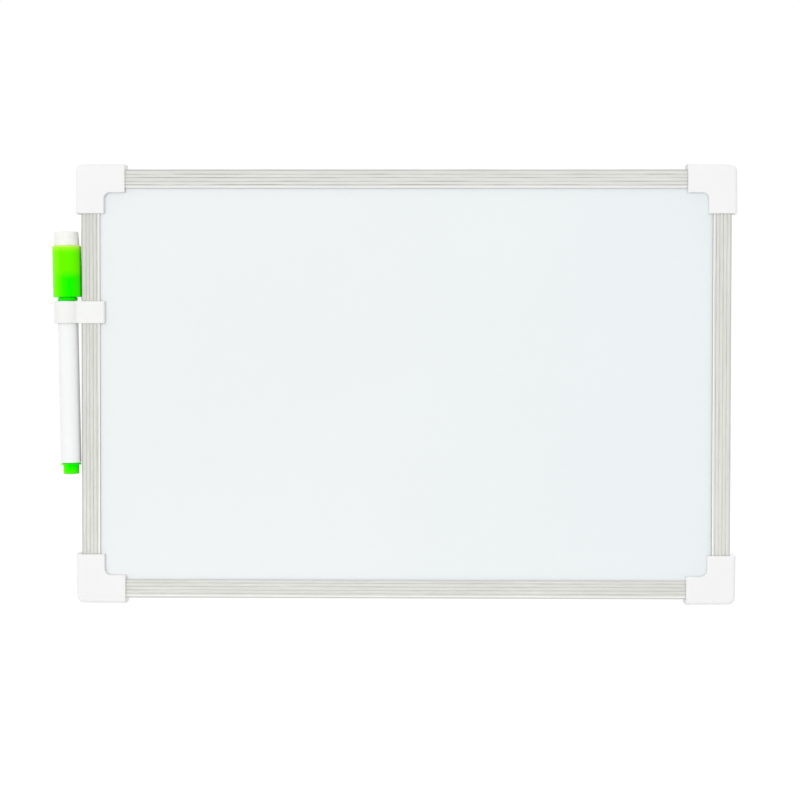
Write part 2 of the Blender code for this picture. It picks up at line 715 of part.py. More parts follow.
def make_cap(axis):
    """The cap: a tube closed at its top, with a post that holds the eraser."""
    mouth = CAP_RADIUS - CAP_MOUTH_TAPER
    bore = mouth - CAP_WALL
    ease = CAP_MOUTH_CHAMFER
    shoulder = CAP_SHOULDER
    profile = [
        (0, CAP_CEILING_S),
        (bore, CAP_CEILING_S),
        (bore, CAP_MOUTH_S),
        (mouth - ease, CAP_MOUTH_S),
        (mouth, CAP_MOUTH_S + ease),
    ]
    profile += arc((CAP_RADIUS - shoulder, CAP_TOP_S - shoulder), shoulder, 0, 90, 4)
    profile += [
        (CAP_POST_RADIUS, CAP_TOP_S),
        (CAP_POST_RADIUS, CAP_TOP_S + CAP_POST_HEIGHT),
        (0, CAP_TOP_S + CAP_POST_HEIGHT),
    ]
    add_turned("marker_cap", profile, "marker_green", axis)


def make_liner(axis):
    """The inner seal: wide round the section's stub, narrow round its nose and nib."""
    outer = CAP_RADIUS - CAP_MOUTH_TAPER - CAP_WALL - FIT_GAP
    inner = SECTION_STUB_RADIUS + FIT_GAP
    narrow = SECTION_NOSE_RADIUS + FIT_GAP
    step = STUB_TOP_S + FIT_GAP
    waist = step + SECTION_NOSE
    profile = [
        (0, LINER_TOP_S),
        (narrow + LINER_WALL, LINER_TOP_S),
        (narrow + LINER_WALL, waist),
        (outer, step),
        (outer, CAP_MOUTH_S + FIT_GAP),
        (inner, CAP_MOUTH_S + FIT_GAP),
        (inner, step),
        (narrow, waist),
        (narrow, LINER_TOP_S - LINER_END_WALL),
        (0, LINER_TOP_S - LINER_END_WALL),
    ]
    add_turned("cap_inner_liner", profile, "liner_natural", axis)


def make_eraser(axis):
    """The felt eraser, a soft plug with a blind hole for the cap's post."""
    bottom = CAP_TOP_S + FIT_GAP
    top = bottom + ERASER_HEIGHT
    hole = CAP_POST_RADIUS + FIT_GAP
    hole_top = CAP_TOP_S + CAP_POST_HEIGHT + FIT_GAP
    edge = ERASER_EDGE
    profile = [
        (0, hole_top),
        (hole, hole_top),
        (hole, bottom),
        (ERASER_BASE_RADIUS, bottom),
        (ERASER_TOP_RADIUS, top - edge),
        (ERASER_TOP_RADIUS - edge, top),
        (0, top),
    ]
    add_turned("cap_eraser", profile, "eraser_felt", axis)


def make_marker():
    """Everything on the marker's leaning axis: the body pulls down out of the cap."""
    place = Vector((MARKER_X, MARKER_Y, CLIP_CENTRE_Z))
    cap_axis = add_empty("marker_cap_axis", place, -MARKER_TILT)
    body_axis = add_empty("marker_body_axis", place, -MARKER_TILT)
    make_barrel(body_axis)
    make_end_plug(body_axis)
    make_section(body_axis)
    make_nib(body_axis)
    make_reservoir(body_axis)
    make_cap(cap_axis)
    make_liner(cap_axis)
    make_eraser(cap_axis)


def main():
    clear_scene()
    make_panel()
    make_rails()
    make_corner_caps()
    make_hanger("hanger_left", -HANGER_X)
    make_hanger("hanger_right", HANGER_X)
    make_marker_clip()
    make_marker()


main()
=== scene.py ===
# %% [markdown]
# # A small magnetic whiteboard
#
# The board is an enamelled steel sheet on a fibreboard core, in a frame of four grooved aluminium
# rails. Moulded caps plug the rails together at the corners. A clip on the left rail carries a
# small green marker, and the marker's cap ends in a felt eraser.
#
# The frame file already holds each solid at its real size and place. This lesson keeps those
# places, and gives every surface the shape and finish that the eye meets.

import json
import math

import bmesh
import bpy
from mathutils import Euler, Matrix, Vector, noise


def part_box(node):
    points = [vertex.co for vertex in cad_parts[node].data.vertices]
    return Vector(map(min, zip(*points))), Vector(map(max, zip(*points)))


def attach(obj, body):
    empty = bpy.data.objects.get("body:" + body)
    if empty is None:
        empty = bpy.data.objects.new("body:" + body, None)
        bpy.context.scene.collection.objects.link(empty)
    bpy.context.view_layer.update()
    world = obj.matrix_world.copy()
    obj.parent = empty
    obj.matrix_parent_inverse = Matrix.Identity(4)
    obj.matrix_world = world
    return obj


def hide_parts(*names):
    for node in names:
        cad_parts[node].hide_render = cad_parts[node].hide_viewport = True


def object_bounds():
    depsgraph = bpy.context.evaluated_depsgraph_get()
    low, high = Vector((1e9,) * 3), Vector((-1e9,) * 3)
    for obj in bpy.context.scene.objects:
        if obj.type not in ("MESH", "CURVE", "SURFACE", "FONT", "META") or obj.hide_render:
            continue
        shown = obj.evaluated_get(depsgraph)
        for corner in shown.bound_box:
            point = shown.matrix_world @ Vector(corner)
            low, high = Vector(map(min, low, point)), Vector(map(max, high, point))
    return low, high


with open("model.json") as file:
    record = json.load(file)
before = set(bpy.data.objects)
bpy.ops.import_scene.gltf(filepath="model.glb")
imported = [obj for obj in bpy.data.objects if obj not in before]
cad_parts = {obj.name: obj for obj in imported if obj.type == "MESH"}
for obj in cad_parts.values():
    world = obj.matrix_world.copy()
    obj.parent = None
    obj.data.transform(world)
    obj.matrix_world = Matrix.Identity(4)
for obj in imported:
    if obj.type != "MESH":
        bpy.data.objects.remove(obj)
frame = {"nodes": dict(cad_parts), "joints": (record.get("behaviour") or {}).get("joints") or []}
cad_low, cad_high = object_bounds()
MM = 0.001
FIT_GAP = 0.3 * MM
print("frame box in mm:", [round(v / MM, 1) for v in (*cad_low, *cad_high)])

# %% [markdown]
# ## The camera
#
# A product photograph of this kind is taken square on from about a metre away. The camera is
# turned by a degree or so, as on a hand-set tripod. A plain perspective camera with no shift and
# no depth of field is enough.

# %% Camera
CAMERA_PLACE = (0.0116, -0.9183, 0.0171)
CAMERA_TURN_DEGREES = (-1.52, -0.07, 0.89)
CAMERA_LENS = 90.0
SENSOR_WIDTH = 36.0


def add_object(name, data):
    """A new object in the scene, at the origin."""
    obj = bpy.data.objects.new(name, data)
    bpy.context.scene.collection.objects.link(obj)
    return obj


def add_camera():
    data = bpy.data.cameras.new("front_camera")
    data.lens = CAMERA_LENS
    data.sensor_width = SENSOR_WIDTH
    camera = add_object("front_camera", data)
    turn = Euler([math.radians(v) for v in CAMERA_TURN_DEGREES], "XYZ").to_matrix()
    facing = turn @ Matrix.Rotation(math.radians(90), 3, "X")
    camera.rotation_euler = facing.to_euler()
    camera.location = CAMERA_PLACE
    bpy.context.scene.camera = camera


add_camera()
print("camera stands", round(-CAMERA_PLACE[1], 3), "m in front of the wall plane")

# %% [markdown]
# ## The studio
#
# White things on white need soft light from one side, or their edges vanish. A pale world fills
# the shadows, and one lamp three metres in front, a little high on the left, draws the shapes with
# narrow shadows. It is kept out of reflections, because the gloss sheet would show it as a patch. A
# weaker lamp stands behind for whoever looks at the back. The backdrop is white for the camera and
# in reflections only, so that it puts no more light on the board.

# %% World
FILL_STRENGTH = 0.84
BACKDROP_STRENGTH = 1.02
WHITE = (1, 1, 1, 1)


def maths(tree, operation, *terms):
    """The result of a Math node, whose terms are sockets or numbers."""
    node = tree.nodes.new("ShaderNodeMath")
    node.operation = operation
    for socket, term in zip(node.inputs, terms):
        if isinstance(term, (int, float)):
            socket.default_value = term
        else:
            tree.links.new(term, socket)
    return node.outputs[0]


def seen_directly(tree):
    """1 for camera, glossy and transmission rays, and 0 for the rays that carry light."""
    rays = tree.nodes.new("ShaderNodeLightPath").outputs
    seen = maths(tree, "MAXIMUM", rays["Is Camera Ray"], rays["Is Glossy Ray"])
    return maths(tree, "MAXIMUM", seen, rays["Is Transmission Ray"])


def add_world():
    world = bpy.data.worlds.new("white_studio")
    world.use_nodes = True
    tree = world.node_tree
    background = tree.nodes["Background"]
    background.inputs["Color"].default_value = WHITE
    strength = tree.nodes.new("ShaderNodeMapRange")
    strength.inputs["To Min"].default_value = FILL_STRENGTH
    strength.inputs["To Max"].default_value = BACKDROP_STRENGTH
    tree.links.new(seen_directly(tree), strength.inputs["Value"])
    tree.links.new(strength.outputs["Result"], background.inputs["Strength"])
    bpy.context.scene.world = world


bpy.context.scene.view_settings.view_transform = "Standard"
add_world()
print("world fills with", FILL_STRENGTH, "and shows as", BACKDROP_STRENGTH)

# %% Floor
FLOOR_DROP = 0.30
FLOOR_SIZE = 12.0
FLOOR_GLOW = 0.35
FLOOR_TONE = (0.80, 0.80, 0.80, 1)
FLOOR_ROUGHNESS = 0.9


def add_floor():
    """A pale floor below the board: it glows a little for the camera, and still takes a shadow."""
    mesh = bpy.data.meshes.new("studio_floor")
    half = FLOOR_SIZE / 2
    level = cad_low.z - FLOOR_DROP
    sides = [(-half, -half), (half, -half), (half, half), (-half, half)]
    mesh.from_pydata([(x, y, level) for x, y in sides], [], [(0, 1, 2, 3)])
    floor = add_object("studio_floor", mesh)
    finish = bpy.data.materials.new("floor_paper")
    finish.use_nodes = True
    tree = finish.node_tree
    shader = tree.nodes["Principled BSDF"]
    shader.inputs["Base Color"].default_value = FLOOR_TONE
    shader.inputs["Roughness"].default_value = FLOOR_ROUGHNESS
    shader.inputs["Specular IOR Level"].default_value = 0.0
    shader.inputs["Emission Color"].default_value = WHITE
    glow = maths(tree, "MULTIPLY", seen_directly(tree), FLOOR_GLOW)
    tree.links.new(glow, shader.inputs["Emission Strength"])
    mesh.materials.append(finish)


add_floor()
print("floor", FLOOR_DROP, "m below the board")

# %% Lamps
def add_lamp(name, place, watts, size, reflected):
    """A square lamp that points at the board's middle."""
    data = bpy.data.lights.new(name, "AREA")
    data.energy = watts
    data.size = size
    lamp = add_object(name, data)
    lamp.location = place
    lamp.rotation_euler = (-Vector(place)).to_track_quat("-Z", "Y").to_euler()
    lamp.visible_glossy = reflected


add_lamp("key_lamp", place=(-0.72, -3.06, 0.36), watts=24.2, size=0.70, reflected=False)
add_lamp("back_lamp", place=(0.40, 1.50, 0.90), watts=6.0, size=1.20, reflected=True)
print("a key lamp in front and a weak one behind")

# %% [markdown]
# ## Helpers for meshes
#
# Most pieces here are turned or moulded. Both start as an outline with eased corners, so one
# helper eases corners, one spins an outline, and one pushes an outline into a plate with rounded
# rims. Every mesh gets its place in its own points, and its object stays at the origin.

# %% Outlines with eased corners
EASE_STEPS = 6
LEAST_MITRE = 0.3


def eased(corners, steps=EASE_STEPS):
    """Each corner (x, y, radius) of a closed outline becomes an arc that touches both its sides."""
    points = []
    for i, (x, y, radius) in enumerate(corners):
        here = Vector((x, y))
        if radius == 0:
            points.append(here)
            continue
        back = (Vector(corners[i - 1][:2]) - here).normalized()
        ahead = (Vector(corners[(i + 1) % len(corners)][:2]) - here).normalized()
        half = back.angle(ahead) / 2
        centre = here + (back + ahead).normalized() * radius / math.sin(half)
        start = here + back * radius / math.tan(half) - centre
        end = here + ahead * radius / math.tan(half) - centre
        sweep = start.angle(end)
        for k in range(steps + 1):
            share = k / steps
            turned_arm = start * math.sin((1 - share) * sweep) + end * math.sin(share * sweep)
            points.append(centre + turned_arm / math.sin(sweep))
    return [tuple(p) for p in points]


def inset_outline(points, inset):
    """A closed outline moved inwards by inset along the bisector of each of its corners.

    LEAST_MITRE keeps a very sharp corner from moving far more than inset.
    """
    area = sum(a[0] * b[1] - b[0] * a[1] for a, b in zip(points, points[1:] + points[:1]))
    side = 1 if area > 0 else -1
    moved = []
    for i, point in enumerate(points):
        here = Vector(point)
        along_in = (here - Vector(points[i - 1])).normalized()
        along_out = (Vector(points[(i + 1) % len(points)]) - here).normalized()
        normal_in = Vector((-along_in.y, along_in.x)) * side
        normal_out = Vector((-along_out.y, along_out.x)) * side
        middle = (normal_in + normal_out).normalized()
        moved.append(tuple(here + middle * inset / max(middle.dot(normal_in), LEAST_MITRE)))
    return moved


print("a rounded corner has", EASE_STEPS + 1, "points")

# %% Meshes from outlines
SMOOTH_ANGLE = math.radians(32)
TURNED_STEPS = 96
RIM_STEPS = 4
MERGE = MM / 1000


def finish_mesh(name, bm):
    """Turns all faces outwards, and shades the mesh smooth but for its sharp edges."""
    bmesh.ops.recalc_face_normals(bm, faces=bm.faces)
    mesh = bpy.data.meshes.new(name)
    bm.to_mesh(mesh)
    bm.free()
    mesh.shade_smooth()
    mesh.set_sharp_from_angle(angle=SMOOTH_ANGLE)
    return mesh


def stacked(name, loops):
    """A closed skin through loops of equal counts, with a flat face on the first and the last."""
    bm = bmesh.new()
    rings = [[bm.verts.new(point) for point in loop] for loop in loops]
    count = len(rings[0])
    for low, high in zip(rings, rings[1:]):
        for i in range(count):
            j = (i + 1) % count
            bm.faces.new((low[i], low[j], high[j], high[i]))
    bm.faces.new(list(reversed(rings[0])))
    bm.faces.new(rings[-1])
    return finish_mesh(name, bm)


def plate(name, outline, place, low, high, rim):
    """An outline pushed from low to high with its two rims rounded by rim."""
    near = []
    for k in range(RIM_STEPS + 1):
        turn = math.radians(90) * k / RIM_STEPS
        near.append((low + rim * (1 - math.sin(turn)), rim * (1 - math.cos(turn))))
    far = [(low + high - t, inset) for t, inset in near]
    rings = []
    for t, inset in sorted(near) + sorted(far):
        rings.append([place(a, b, t) for a, b in inset_outline(outline, inset)])
    return stacked(name, rings)


def turned(name, profile, steps=TURNED_STEPS):
    """(radius, height) points spun about Z; the profile closes on itself unless both ends are on Z.

    A point on Z becomes one vertex and any other a ring, always in the same order, so that points
    scattered over the mesh later fall on the same spots each time.
    """
    bm = bmesh.new()
    rings = []
    for i, (radius, height) in enumerate(profile):
        if math.dist(profile[i - 1], (radius, height)) < MERGE:
            continue
        turns = [math.tau * k / steps for k in range(steps if radius > 0 else 1)]
        spots = [(radius * math.cos(a), radius * math.sin(a), height) for a in turns]
        rings.append([bm.verts.new(spot) for spot in spots])
    pairs = list(zip(rings, rings[1:]))
    if len(rings[0]) > 1 or len(rings[-1]) > 1:
        pairs.append((rings[-1], rings[0]))
    for low, high in pairs:
        for k in range(steps):
            here = [low[k % len(low)], low[(k + 1) % len(low)]]
            there = [high[(k + 1) % len(high)], high[k % len(high)]]
            bm.faces.new(list(dict.fromkeys(here + there)))
    return finish_mesh(name, bm)


print("a turned piece has", TURNED_STEPS, "steps round")

# %% Objects and cuts
def add_piece(name, mesh, finish):
    obj = add_object(name, mesh)
    obj.data.materials.clear()
    obj.data.materials.append(finish)
    return obj


def bake(obj):
    """Swaps the object's mesh for what its modifiers make of it, and removes them."""
    graph = bpy.context.evaluated_depsgraph_get()
    mesh = bpy.data.meshes.new_from_object(obj.evaluated_get(graph))
    obj.modifiers.clear()
    obj.data = mesh


def cut(obj, tools):
    """Takes each (operation, mesh) from obj or adds it, then bakes the result."""
    helpers = []
    for operation, mesh in tools:
        helper = add_object("helper", mesh)
        modifier = obj.modifiers.new("shape", "BOOLEAN")
        modifier.operation = operation
        modifier.solver = "EXACT"
        modifier.object = helper
        helpers.append(helper)
    bake(obj)
    for helper in helpers:
        bpy.data.objects.remove(helper, do_unlink=True)
    obj.data.shade_smooth()
    obj.data.set_sharp_from_angle(angle=SMOOTH_ANGLE)


print("a cut keeps edges under", round(math.degrees(SMOOTH_ANGLE)), "degrees smooth")

# %% [markdown]
# What repeats or follows a rule is left to Geometry Nodes. A tree is a list of steps joined by
# links, and building it here keeps its sizes named and its seeds fixed. A modifier knows a tree's
# inputs by identifiers, not by their names, so run_tree looks each one up. The result is baked to
# a plain mesh at once, which is what the export can carry.

# %% Node trees
def new_tree(name, inputs):
    """A Geometry Nodes tree with the named inputs, the sockets that carry them, and its end."""
    tree = bpy.data.node_groups.new(name, "GeometryNodeTree")
    for label, kind in [("Geometry", "Geometry")] + inputs:
        tree.interface.new_socket(name=label, in_out="INPUT", socket_type="NodeSocket" + kind)
    tree.interface.new_socket(name="Geometry", in_out="OUTPUT", socket_type="NodeSocketGeometry")
    return tree, tree.nodes.new("NodeGroupInput").outputs, tree.nodes.new("NodeGroupOutput")


def add_step(tree, kind, sources=None, **values):
    """A node of the tree. sources maps its inputs to sockets, and values sets inputs or settings.

    In a value's name an underscore stands for the space in an input's name.
    """
    node = tree.nodes.new(kind)
    for key, value in values.items():
        if hasattr(node, key):
            setattr(node, key, value)
        else:
            node.inputs[key.replace("_", " ")].default_value = value
    for key, socket in (sources or {}).items():
        tree.links.new(socket, node.inputs[key])
    return node


def axes_of(tree, vector):
    """The X, Y and Z of a vector."""
    return add_step(tree, "ShaderNodeSeparateXYZ", {0: vector}).outputs


def joined(tree, *meshes):
    both = tree.nodes.new("GeometryNodeJoinGeometry")
    for mesh in meshes:
        tree.links.new(mesh, both.inputs[0])
    return both.outputs[0]


def end_tree(tree, geometry, given, result):
    """Makes copies real and puts the finish on, because the export drops instances."""
    real = add_step(tree, "GeometryNodeRealizeInstances", {"Geometry": geometry})
    painted = add_step(tree, "GeometryNodeSetMaterial", {
        "Geometry": real.outputs["Geometry"], "Material": given["Finish"],
    })
    tree.links.new(painted.outputs["Geometry"], result.inputs["Geometry"])
    return tree


def run_tree(obj, tree, values):
    """Runs a Geometry Nodes tree on obj with its inputs set by identifier, and bakes the result."""
    modifier = obj.modifiers.new(tree.name, "NODES")
    modifier.node_group = tree
    for item in tree.interface.items_tree:
        if item.item_type == "SOCKET" and item.in_out == "INPUT" and item.name in values:
            modifier[item.identifier] = values[item.name]
    bake(obj)


print("tree helpers ready")

# %% [markdown]
# ## Helpers for finishes
#
# A finish is a Principled shader whose colour, roughness and bump come from noise. What is the
# same all over a surface is typed on the shader itself. Colours are written on the 0 to 255 scale
# that a colour picker shows.

# %% Finish helpers
NOISE_LOW = 0.3
NOISE_HIGH = 0.7


def tone(red, green, blue):
    """A picked colour, which follows the sRGB curve, as the linear value that a shader takes."""
    linear = []
    for value in (red, green, blue):
        share = value / 255
        linear.append(share / 12.92 if share <= 0.04045 else ((share + 0.055) / 1.055) ** 2.4)
    return (*linear, 1.0)


def new_finish(name, colour, roughness, metallic=0.0, specular=0.5):
    finish = bpy.data.materials.new(name)
    finish.use_nodes = True
    shader = finish.node_tree.nodes["Principled BSDF"]
    shader.inputs["Base Color"].default_value = colour
    shader.inputs["Roughness"].default_value = roughness
    shader.inputs["Metallic"].default_value = metallic
    shader.inputs["Specular IOR Level"].default_value = specular
    return finish, shader


def place_from(finish):
    """Where most patterns are read: the object's own coordinates."""
    return finish.node_tree.nodes.new("ShaderNodeTexCoord").outputs["Object"]


def grain(finish, place, scale, stretch=(1, 1, 1), detail=3.0):
    """Noise with scale cells in a metre, stretched by making one axis' share small."""
    tree = finish.node_tree
    mapping = add_step(tree, "ShaderNodeMapping", {"Vector": place}, Scale=stretch)
    noise_field = add_step(tree, "ShaderNodeTexNoise", {"Vector": mapping.outputs["Vector"]},
                           Scale=scale, Detail=detail)
    return noise_field.outputs["Fac"]


def spread(finish, source, low, high, from_low=NOISE_LOW, from_high=NOISE_HIGH):
    """Maps a field onto the range low to high. Most of a noise lies in the range given here."""
    node = add_step(finish.node_tree, "ShaderNodeMapRange", {"Value": source},
                    From_Min=from_low, From_Max=from_high, To_Min=low, To_Max=high)
    return node.outputs["Result"]


print("most noise lies between", NOISE_LOW, "and", NOISE_HIGH)

# %% Colour, roughness and bump
def blended(finish, source, first, second):
    """A colour between two, by a field from 0 to 1. Either may be a socket."""
    node = finish.node_tree.nodes.new("ShaderNodeMix")
    node.data_type = "RGBA"
    finish.node_tree.links.new(source, node.inputs["Factor"])
    for socket, colour in ((node.inputs[6], first), (node.inputs[7], second)):
        if isinstance(colour, tuple):
            socket.default_value = colour
        else:
            finish.node_tree.links.new(colour, socket)
    return node.outputs[2]


def wire(finish, source, shader, name):
    finish.node_tree.links.new(source, shader.inputs[name])


def mottled(finish, shader, source, first, second):
    """Colours the shader between two picked colours, by a field."""
    wire(finish, blended(finish, source, tone(*first), tone(*second)), shader, "Base Color")


def roughened(finish, shader, source, low, high):
    """Roughness that a noise moves between low and high."""
    wire(finish, spread(finish, source, low, high), shader, "Roughness")


def bumped(finish, shader, source, depth):
    """Bump whose full swing is depth metres."""
    bump = add_step(finish.node_tree, "ShaderNodeBump", {"Height": source}, Distance=depth)
    wire(finish, bump.outputs["Normal"], shader, "Normal")


print("finish helpers ready")

# %% [markdown]
# ## The writing surface
#
# Dry-wipe sheet is thin steel with a baked gloss coat. It is very pale and a touch cool, more so
# towards the right. It is never quite flat either: it has the faint skin of an orange, and wiping
# leaves haze that only the gloss shows.
# The sheet's own solid is right, so it keeps its mesh and takes this finish.

# %% Gloss coat on the writing sheet
sheet_low, sheet_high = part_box("writing_sheet")


def gloss_enamel():
    finish, shader = new_finish("gloss_enamel", tone(233, 238, 239), roughness=0.14)
    place = place_from(finish)
    across = axes_of(finish.node_tree, place)["X"]
    drift = spread(finish, across, 0.0, 1.0, sheet_low.x, sheet_high.x)
    pale = blended(finish, drift, tone(235, 238, 239), tone(232, 238, 239))
    dark = blended(finish, drift, tone(233, 236, 237), tone(230, 236, 237))
    cloud = spread(finish, grain(finish, place, scale=9.0), 0.0, 1.0)
    wire(finish, blended(finish, cloud, dark, pale), shader, "Base Color")
    haze = grain(finish, place, scale=22.0, stretch=(1.0, 1.0, 3.0), detail=5.0)
    roughened(finish, shader, haze, low=0.10, high=0.20)
    bumped(finish, shader, grain(finish, place, scale=420.0, detail=1.0), depth=0.002 * MM)
    return finish


def dress(node, finish):
    """Gives a carried-over solid its finish."""
    materials = frame["nodes"][node].data.materials
    materials.clear()
    materials.append(finish)


dress("writing_sheet", gloss_enamel())
print("writing sheet", round((sheet_high.x - sheet_low.x) / MM, 1), "mm wide")

# %% [markdown]
# ## Core and back
#
# The core is pale fibreboard, seen only if the frame is opened. The back is a thin coated sheet
# that keeps the panel from bowing: plainer than the front, with the faint mottle of a roller coat.

# %% Core board and back sheet
def fibreboard():
    finish, shader = new_finish("pressed_fibreboard", tone(176, 158, 132),
                                roughness=0.9, specular=0.2)
    fibres = grain(finish, place_from(finish), scale=900.0, stretch=(1.0, 1.0, 0.35), detail=6.0)
    mottled(finish, shader, spread(finish, fibres, 0, 1), (156, 138, 112), (194, 176, 150))
    bumped(finish, shader, fibres, depth=0.08 * MM)
    return finish


def roller_coat():
    finish, shader = new_finish("roller_coat", tone(222, 224, 225), roughness=0.42)
    place = place_from(finish)
    mottle = grain(finish, place, scale=520.0, stretch=(1.0, 1.0, 0.6), detail=5.0)
    mottled(finish, shader, spread(finish, mottle, 0, 1), (219, 221, 223), (224, 226, 228))
    roughened(finish, shader, grain(finish, place, scale=14.0), low=0.38, high=0.46)
    bumped(finish, shader, grain(finish, place, scale=1500.0, detail=2.0), depth=0.010 * MM)
    return finish


dress("core_board", fibreboard())
dress("back_sheet", roller_coat())
print("core and back sheet dressed")

# %% [markdown]
# ## The frame rails
#
# One extrusion makes all four rails: a box for the caps' tongues, a slot for the panel, a slot
# behind for the hangers, and four fine grooves along the face. A section that runs straight is a
# rule, so Geometry Nodes makes it: the outline is filled once, pushed to a length, set at a
# distance from the board's middle and turned to its side. The tree also stores where each point
# lies along and across the rail, so that the drawing marks follow the metal on every side.

# %% Extrusion outline
rail_low, rail_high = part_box("rail_top")
back_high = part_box("back_sheet")[1]
RAIL_FRONT = rail_low.y
RAIL_BACK = rail_high.y
RAIL_WIDTH = rail_high.z - rail_low.z
SLOT_FRONT = sheet_low.y - FIT_GAP
SLOT_BACK = back_high.y + FIT_GAP
SLOT_BOTTOM = rail_high.z - sheet_high.z - FIT_GAP
OUTER_WALL = 1.0 * MM
BACK_WALL = 0.9 * MM
WEB = 0.8 * MM
EDGE_RADIUS = 0.5 * MM
LIP_BEVEL = 0.45 * MM
LIP_EASE = 0.08 * MM
REAR_SLOT_WIDTH = 2.0 * MM
REAR_LIP_REACH = 2.3 * MM
REAR_LIP_WALL = 0.8 * MM
GROOVE_FIRST = 2.1 * MM
GROOVE_PITCH = 1.6 * MM
GROOVE_COUNT = 4
GROOVE_WIDTH = 0.5 * MM
GROOVE_DEPTH = 0.17 * MM
GROOVE_EASE = 0.06 * MM
SMALL_EASE = 0.15 * MM
SECTION_EASE_STEPS = 4


def rail_outline():
    """(distance in from the outer face, depth) round the section."""
    corners = [(0, RAIL_FRONT, EDGE_RADIUS)]
    for k in range(GROOVE_COUNT):
        middle = GROOVE_FIRST + k * GROOVE_PITCH
        corners.append((middle - GROOVE_WIDTH / 2, RAIL_FRONT, GROOVE_EASE))
        corners.append((middle, RAIL_FRONT + GROOVE_DEPTH, GROOVE_EASE))
        corners.append((middle + GROOVE_WIDTH / 2, RAIL_FRONT, GROOVE_EASE))
    box_side = SLOT_BOTTOM - WEB
    rear_middle = (OUTER_WALL + box_side) / 2
    rear_near = rear_middle - REAR_SLOT_WIDTH / 2
    rear_far = rear_middle + REAR_SLOT_WIDTH / 2
    inside_back = RAIL_BACK - BACK_WALL
    corners += [
        (RAIL_WIDTH - LIP_BEVEL, RAIL_FRONT, LIP_EASE),
        (RAIL_WIDTH, RAIL_FRONT + LIP_BEVEL, LIP_EASE),
        (RAIL_WIDTH, SLOT_FRONT, SMALL_EASE),
        (SLOT_BOTTOM, SLOT_FRONT, SMALL_EASE),
        (SLOT_BOTTOM, SLOT_BACK, SMALL_EASE),
        (SLOT_BOTTOM + REAR_LIP_REACH, SLOT_BACK, SMALL_EASE),
        (SLOT_BOTTOM + REAR_LIP_REACH, SLOT_BACK + REAR_LIP_WALL, SMALL_EASE),
        (SLOT_BOTTOM, SLOT_BACK + REAR_LIP_WALL, SMALL_EASE),
        (SLOT_BOTTOM, RAIL_BACK, SMALL_EASE),
        (rear_far, RAIL_BACK, SMALL_EASE),
        (rear_far, inside_back, SMALL_EASE),
        (box_side, inside_back, SMALL_EASE),
        (box_side, SLOT_FRONT, SMALL_EASE),
        (OUTER_WALL, SLOT_FRONT, SMALL_EASE),
        (OUTER_WALL, inside_back, SMALL_EASE),
        (rear_near, inside_back, SMALL_EASE),
        (rear_near, RAIL_BACK, SMALL_EASE),
        (0, RAIL_BACK, EDGE_RADIUS),
    ]
    return eased(corners, SECTION_EASE_STEPS)


print("extrusion outline has", len(rail_outline()), "points")

# %% Rail tree
def kept(tree, geometry, name, kind, value):
    """Keeps a value on every point, under a name that the finish reads."""
    step = add_step(tree, "GeometryNodeStoreNamedAttribute", {"Geometry": geometry, "Value": value},
                    data_type=kind, domain="POINT", Name=name)
    return step.outputs["Geometry"]


def rail_tree():
    """Pushes the filled outline to a length, notes each point's place, and turns it to its side."""
    tree, given, result = new_tree("rail_run", [
        ("Length", "Float"), ("Outer Face", "Float"), ("Turn", "Vector"), ("Light Shares", "Vector"),
        ("Lightness", "Float"), ("Wall", "Float"), ("Finish", "Material"),
    ])
    run = add_step(tree, "GeometryNodeExtrudeMesh", {
        "Mesh": given["Geometry"], "Offset Scale": given["Length"],
    }, mode="FACES", Individual=False)
    flip = add_step(tree, "GeometryNodeFlipFaces", {"Mesh": given["Geometry"]})
    both = joined(tree, run.outputs["Mesh"], flip.outputs["Mesh"])
    welded = add_step(tree, "GeometryNodeMergeByDistance", {"Geometry": both}, Distance=MERGE)
    half_back = maths(tree, "MULTIPLY", given["Length"], -0.5)
    back = add_step(tree, "ShaderNodeCombineXYZ", {"X": half_back})
    centred = add_step(tree, "GeometryNodeTransform", {
        "Geometry": welded.outputs["Geometry"], "Translation": back.outputs[0],
    })
    rail = centred.outputs["Geometry"]
    where = tree.nodes.new("GeometryNodeInputPosition").outputs[0]
    for name, kind, value in (
        ("rail_place", "FLOAT_VECTOR", where),
        ("rail_light_shares", "FLOAT_VECTOR", given["Light Shares"]),
        ("rail_painted_lightness", "FLOAT", given["Lightness"]),
        ("rail_wall_shade", "FLOAT", given["Wall"]),
    ):
        rail = kept(tree, rail, name, kind, value)
    lift = add_step(tree, "ShaderNodeCombineXYZ", {"Z": given["Outer Face"]})
    lifted = add_step(tree, "GeometryNodeTransform", {
        "Geometry": rail, "Translation": lift.outputs[0],
    })
    to_side = add_step(tree, "GeometryNodeTransform", {
        "Geometry": lifted.outputs["Geometry"], "Rotation": given["Turn"],
    })
    return end_tree(tree, to_side.outputs["Geometry"], given, result)


print("rail tree ready")

# %% [markdown]
# The rails are drawn through a die and brushed, then anodised in a warm silver. What shows is a
# run of fine lines along the metal, some lighter and some darker, with slower changes of tone
# across it, and shade that comes and goes in the four grooves. All of it is noise stretched along
# the rail's length.
#
# Each rail carries its own shares of painted light: a painted highlight on the lip over painted
# shade on its inner wall, a painted highlight line by the outer edge, painted shade in the grooves,
# and a painted lightness over its metal. The tree stores those shares on each rail, so one finish
# serves all four.

# %% Drawn lines
DARK_METAL = tone(205, 205, 200)
PALE_METAL = tone(225, 225, 220)
# Painted light: each rail is blended towards this tone by its own share, which evens out how the
# light falls on the four rails.
PAINTED_LIT_METAL = tone(236, 236, 233)
METAL_GLINT = (0.72, 0.72, 0.72, 1)
STREAK_SUM_LOW = 1.1
STREAK_SUM_HIGH = 1.9


def kept_on_mesh(finish, name):
    """What the rail tree kept under a name."""
    return add_step(finish.node_tree, "ShaderNodeAttribute", attribute_name=name).outputs


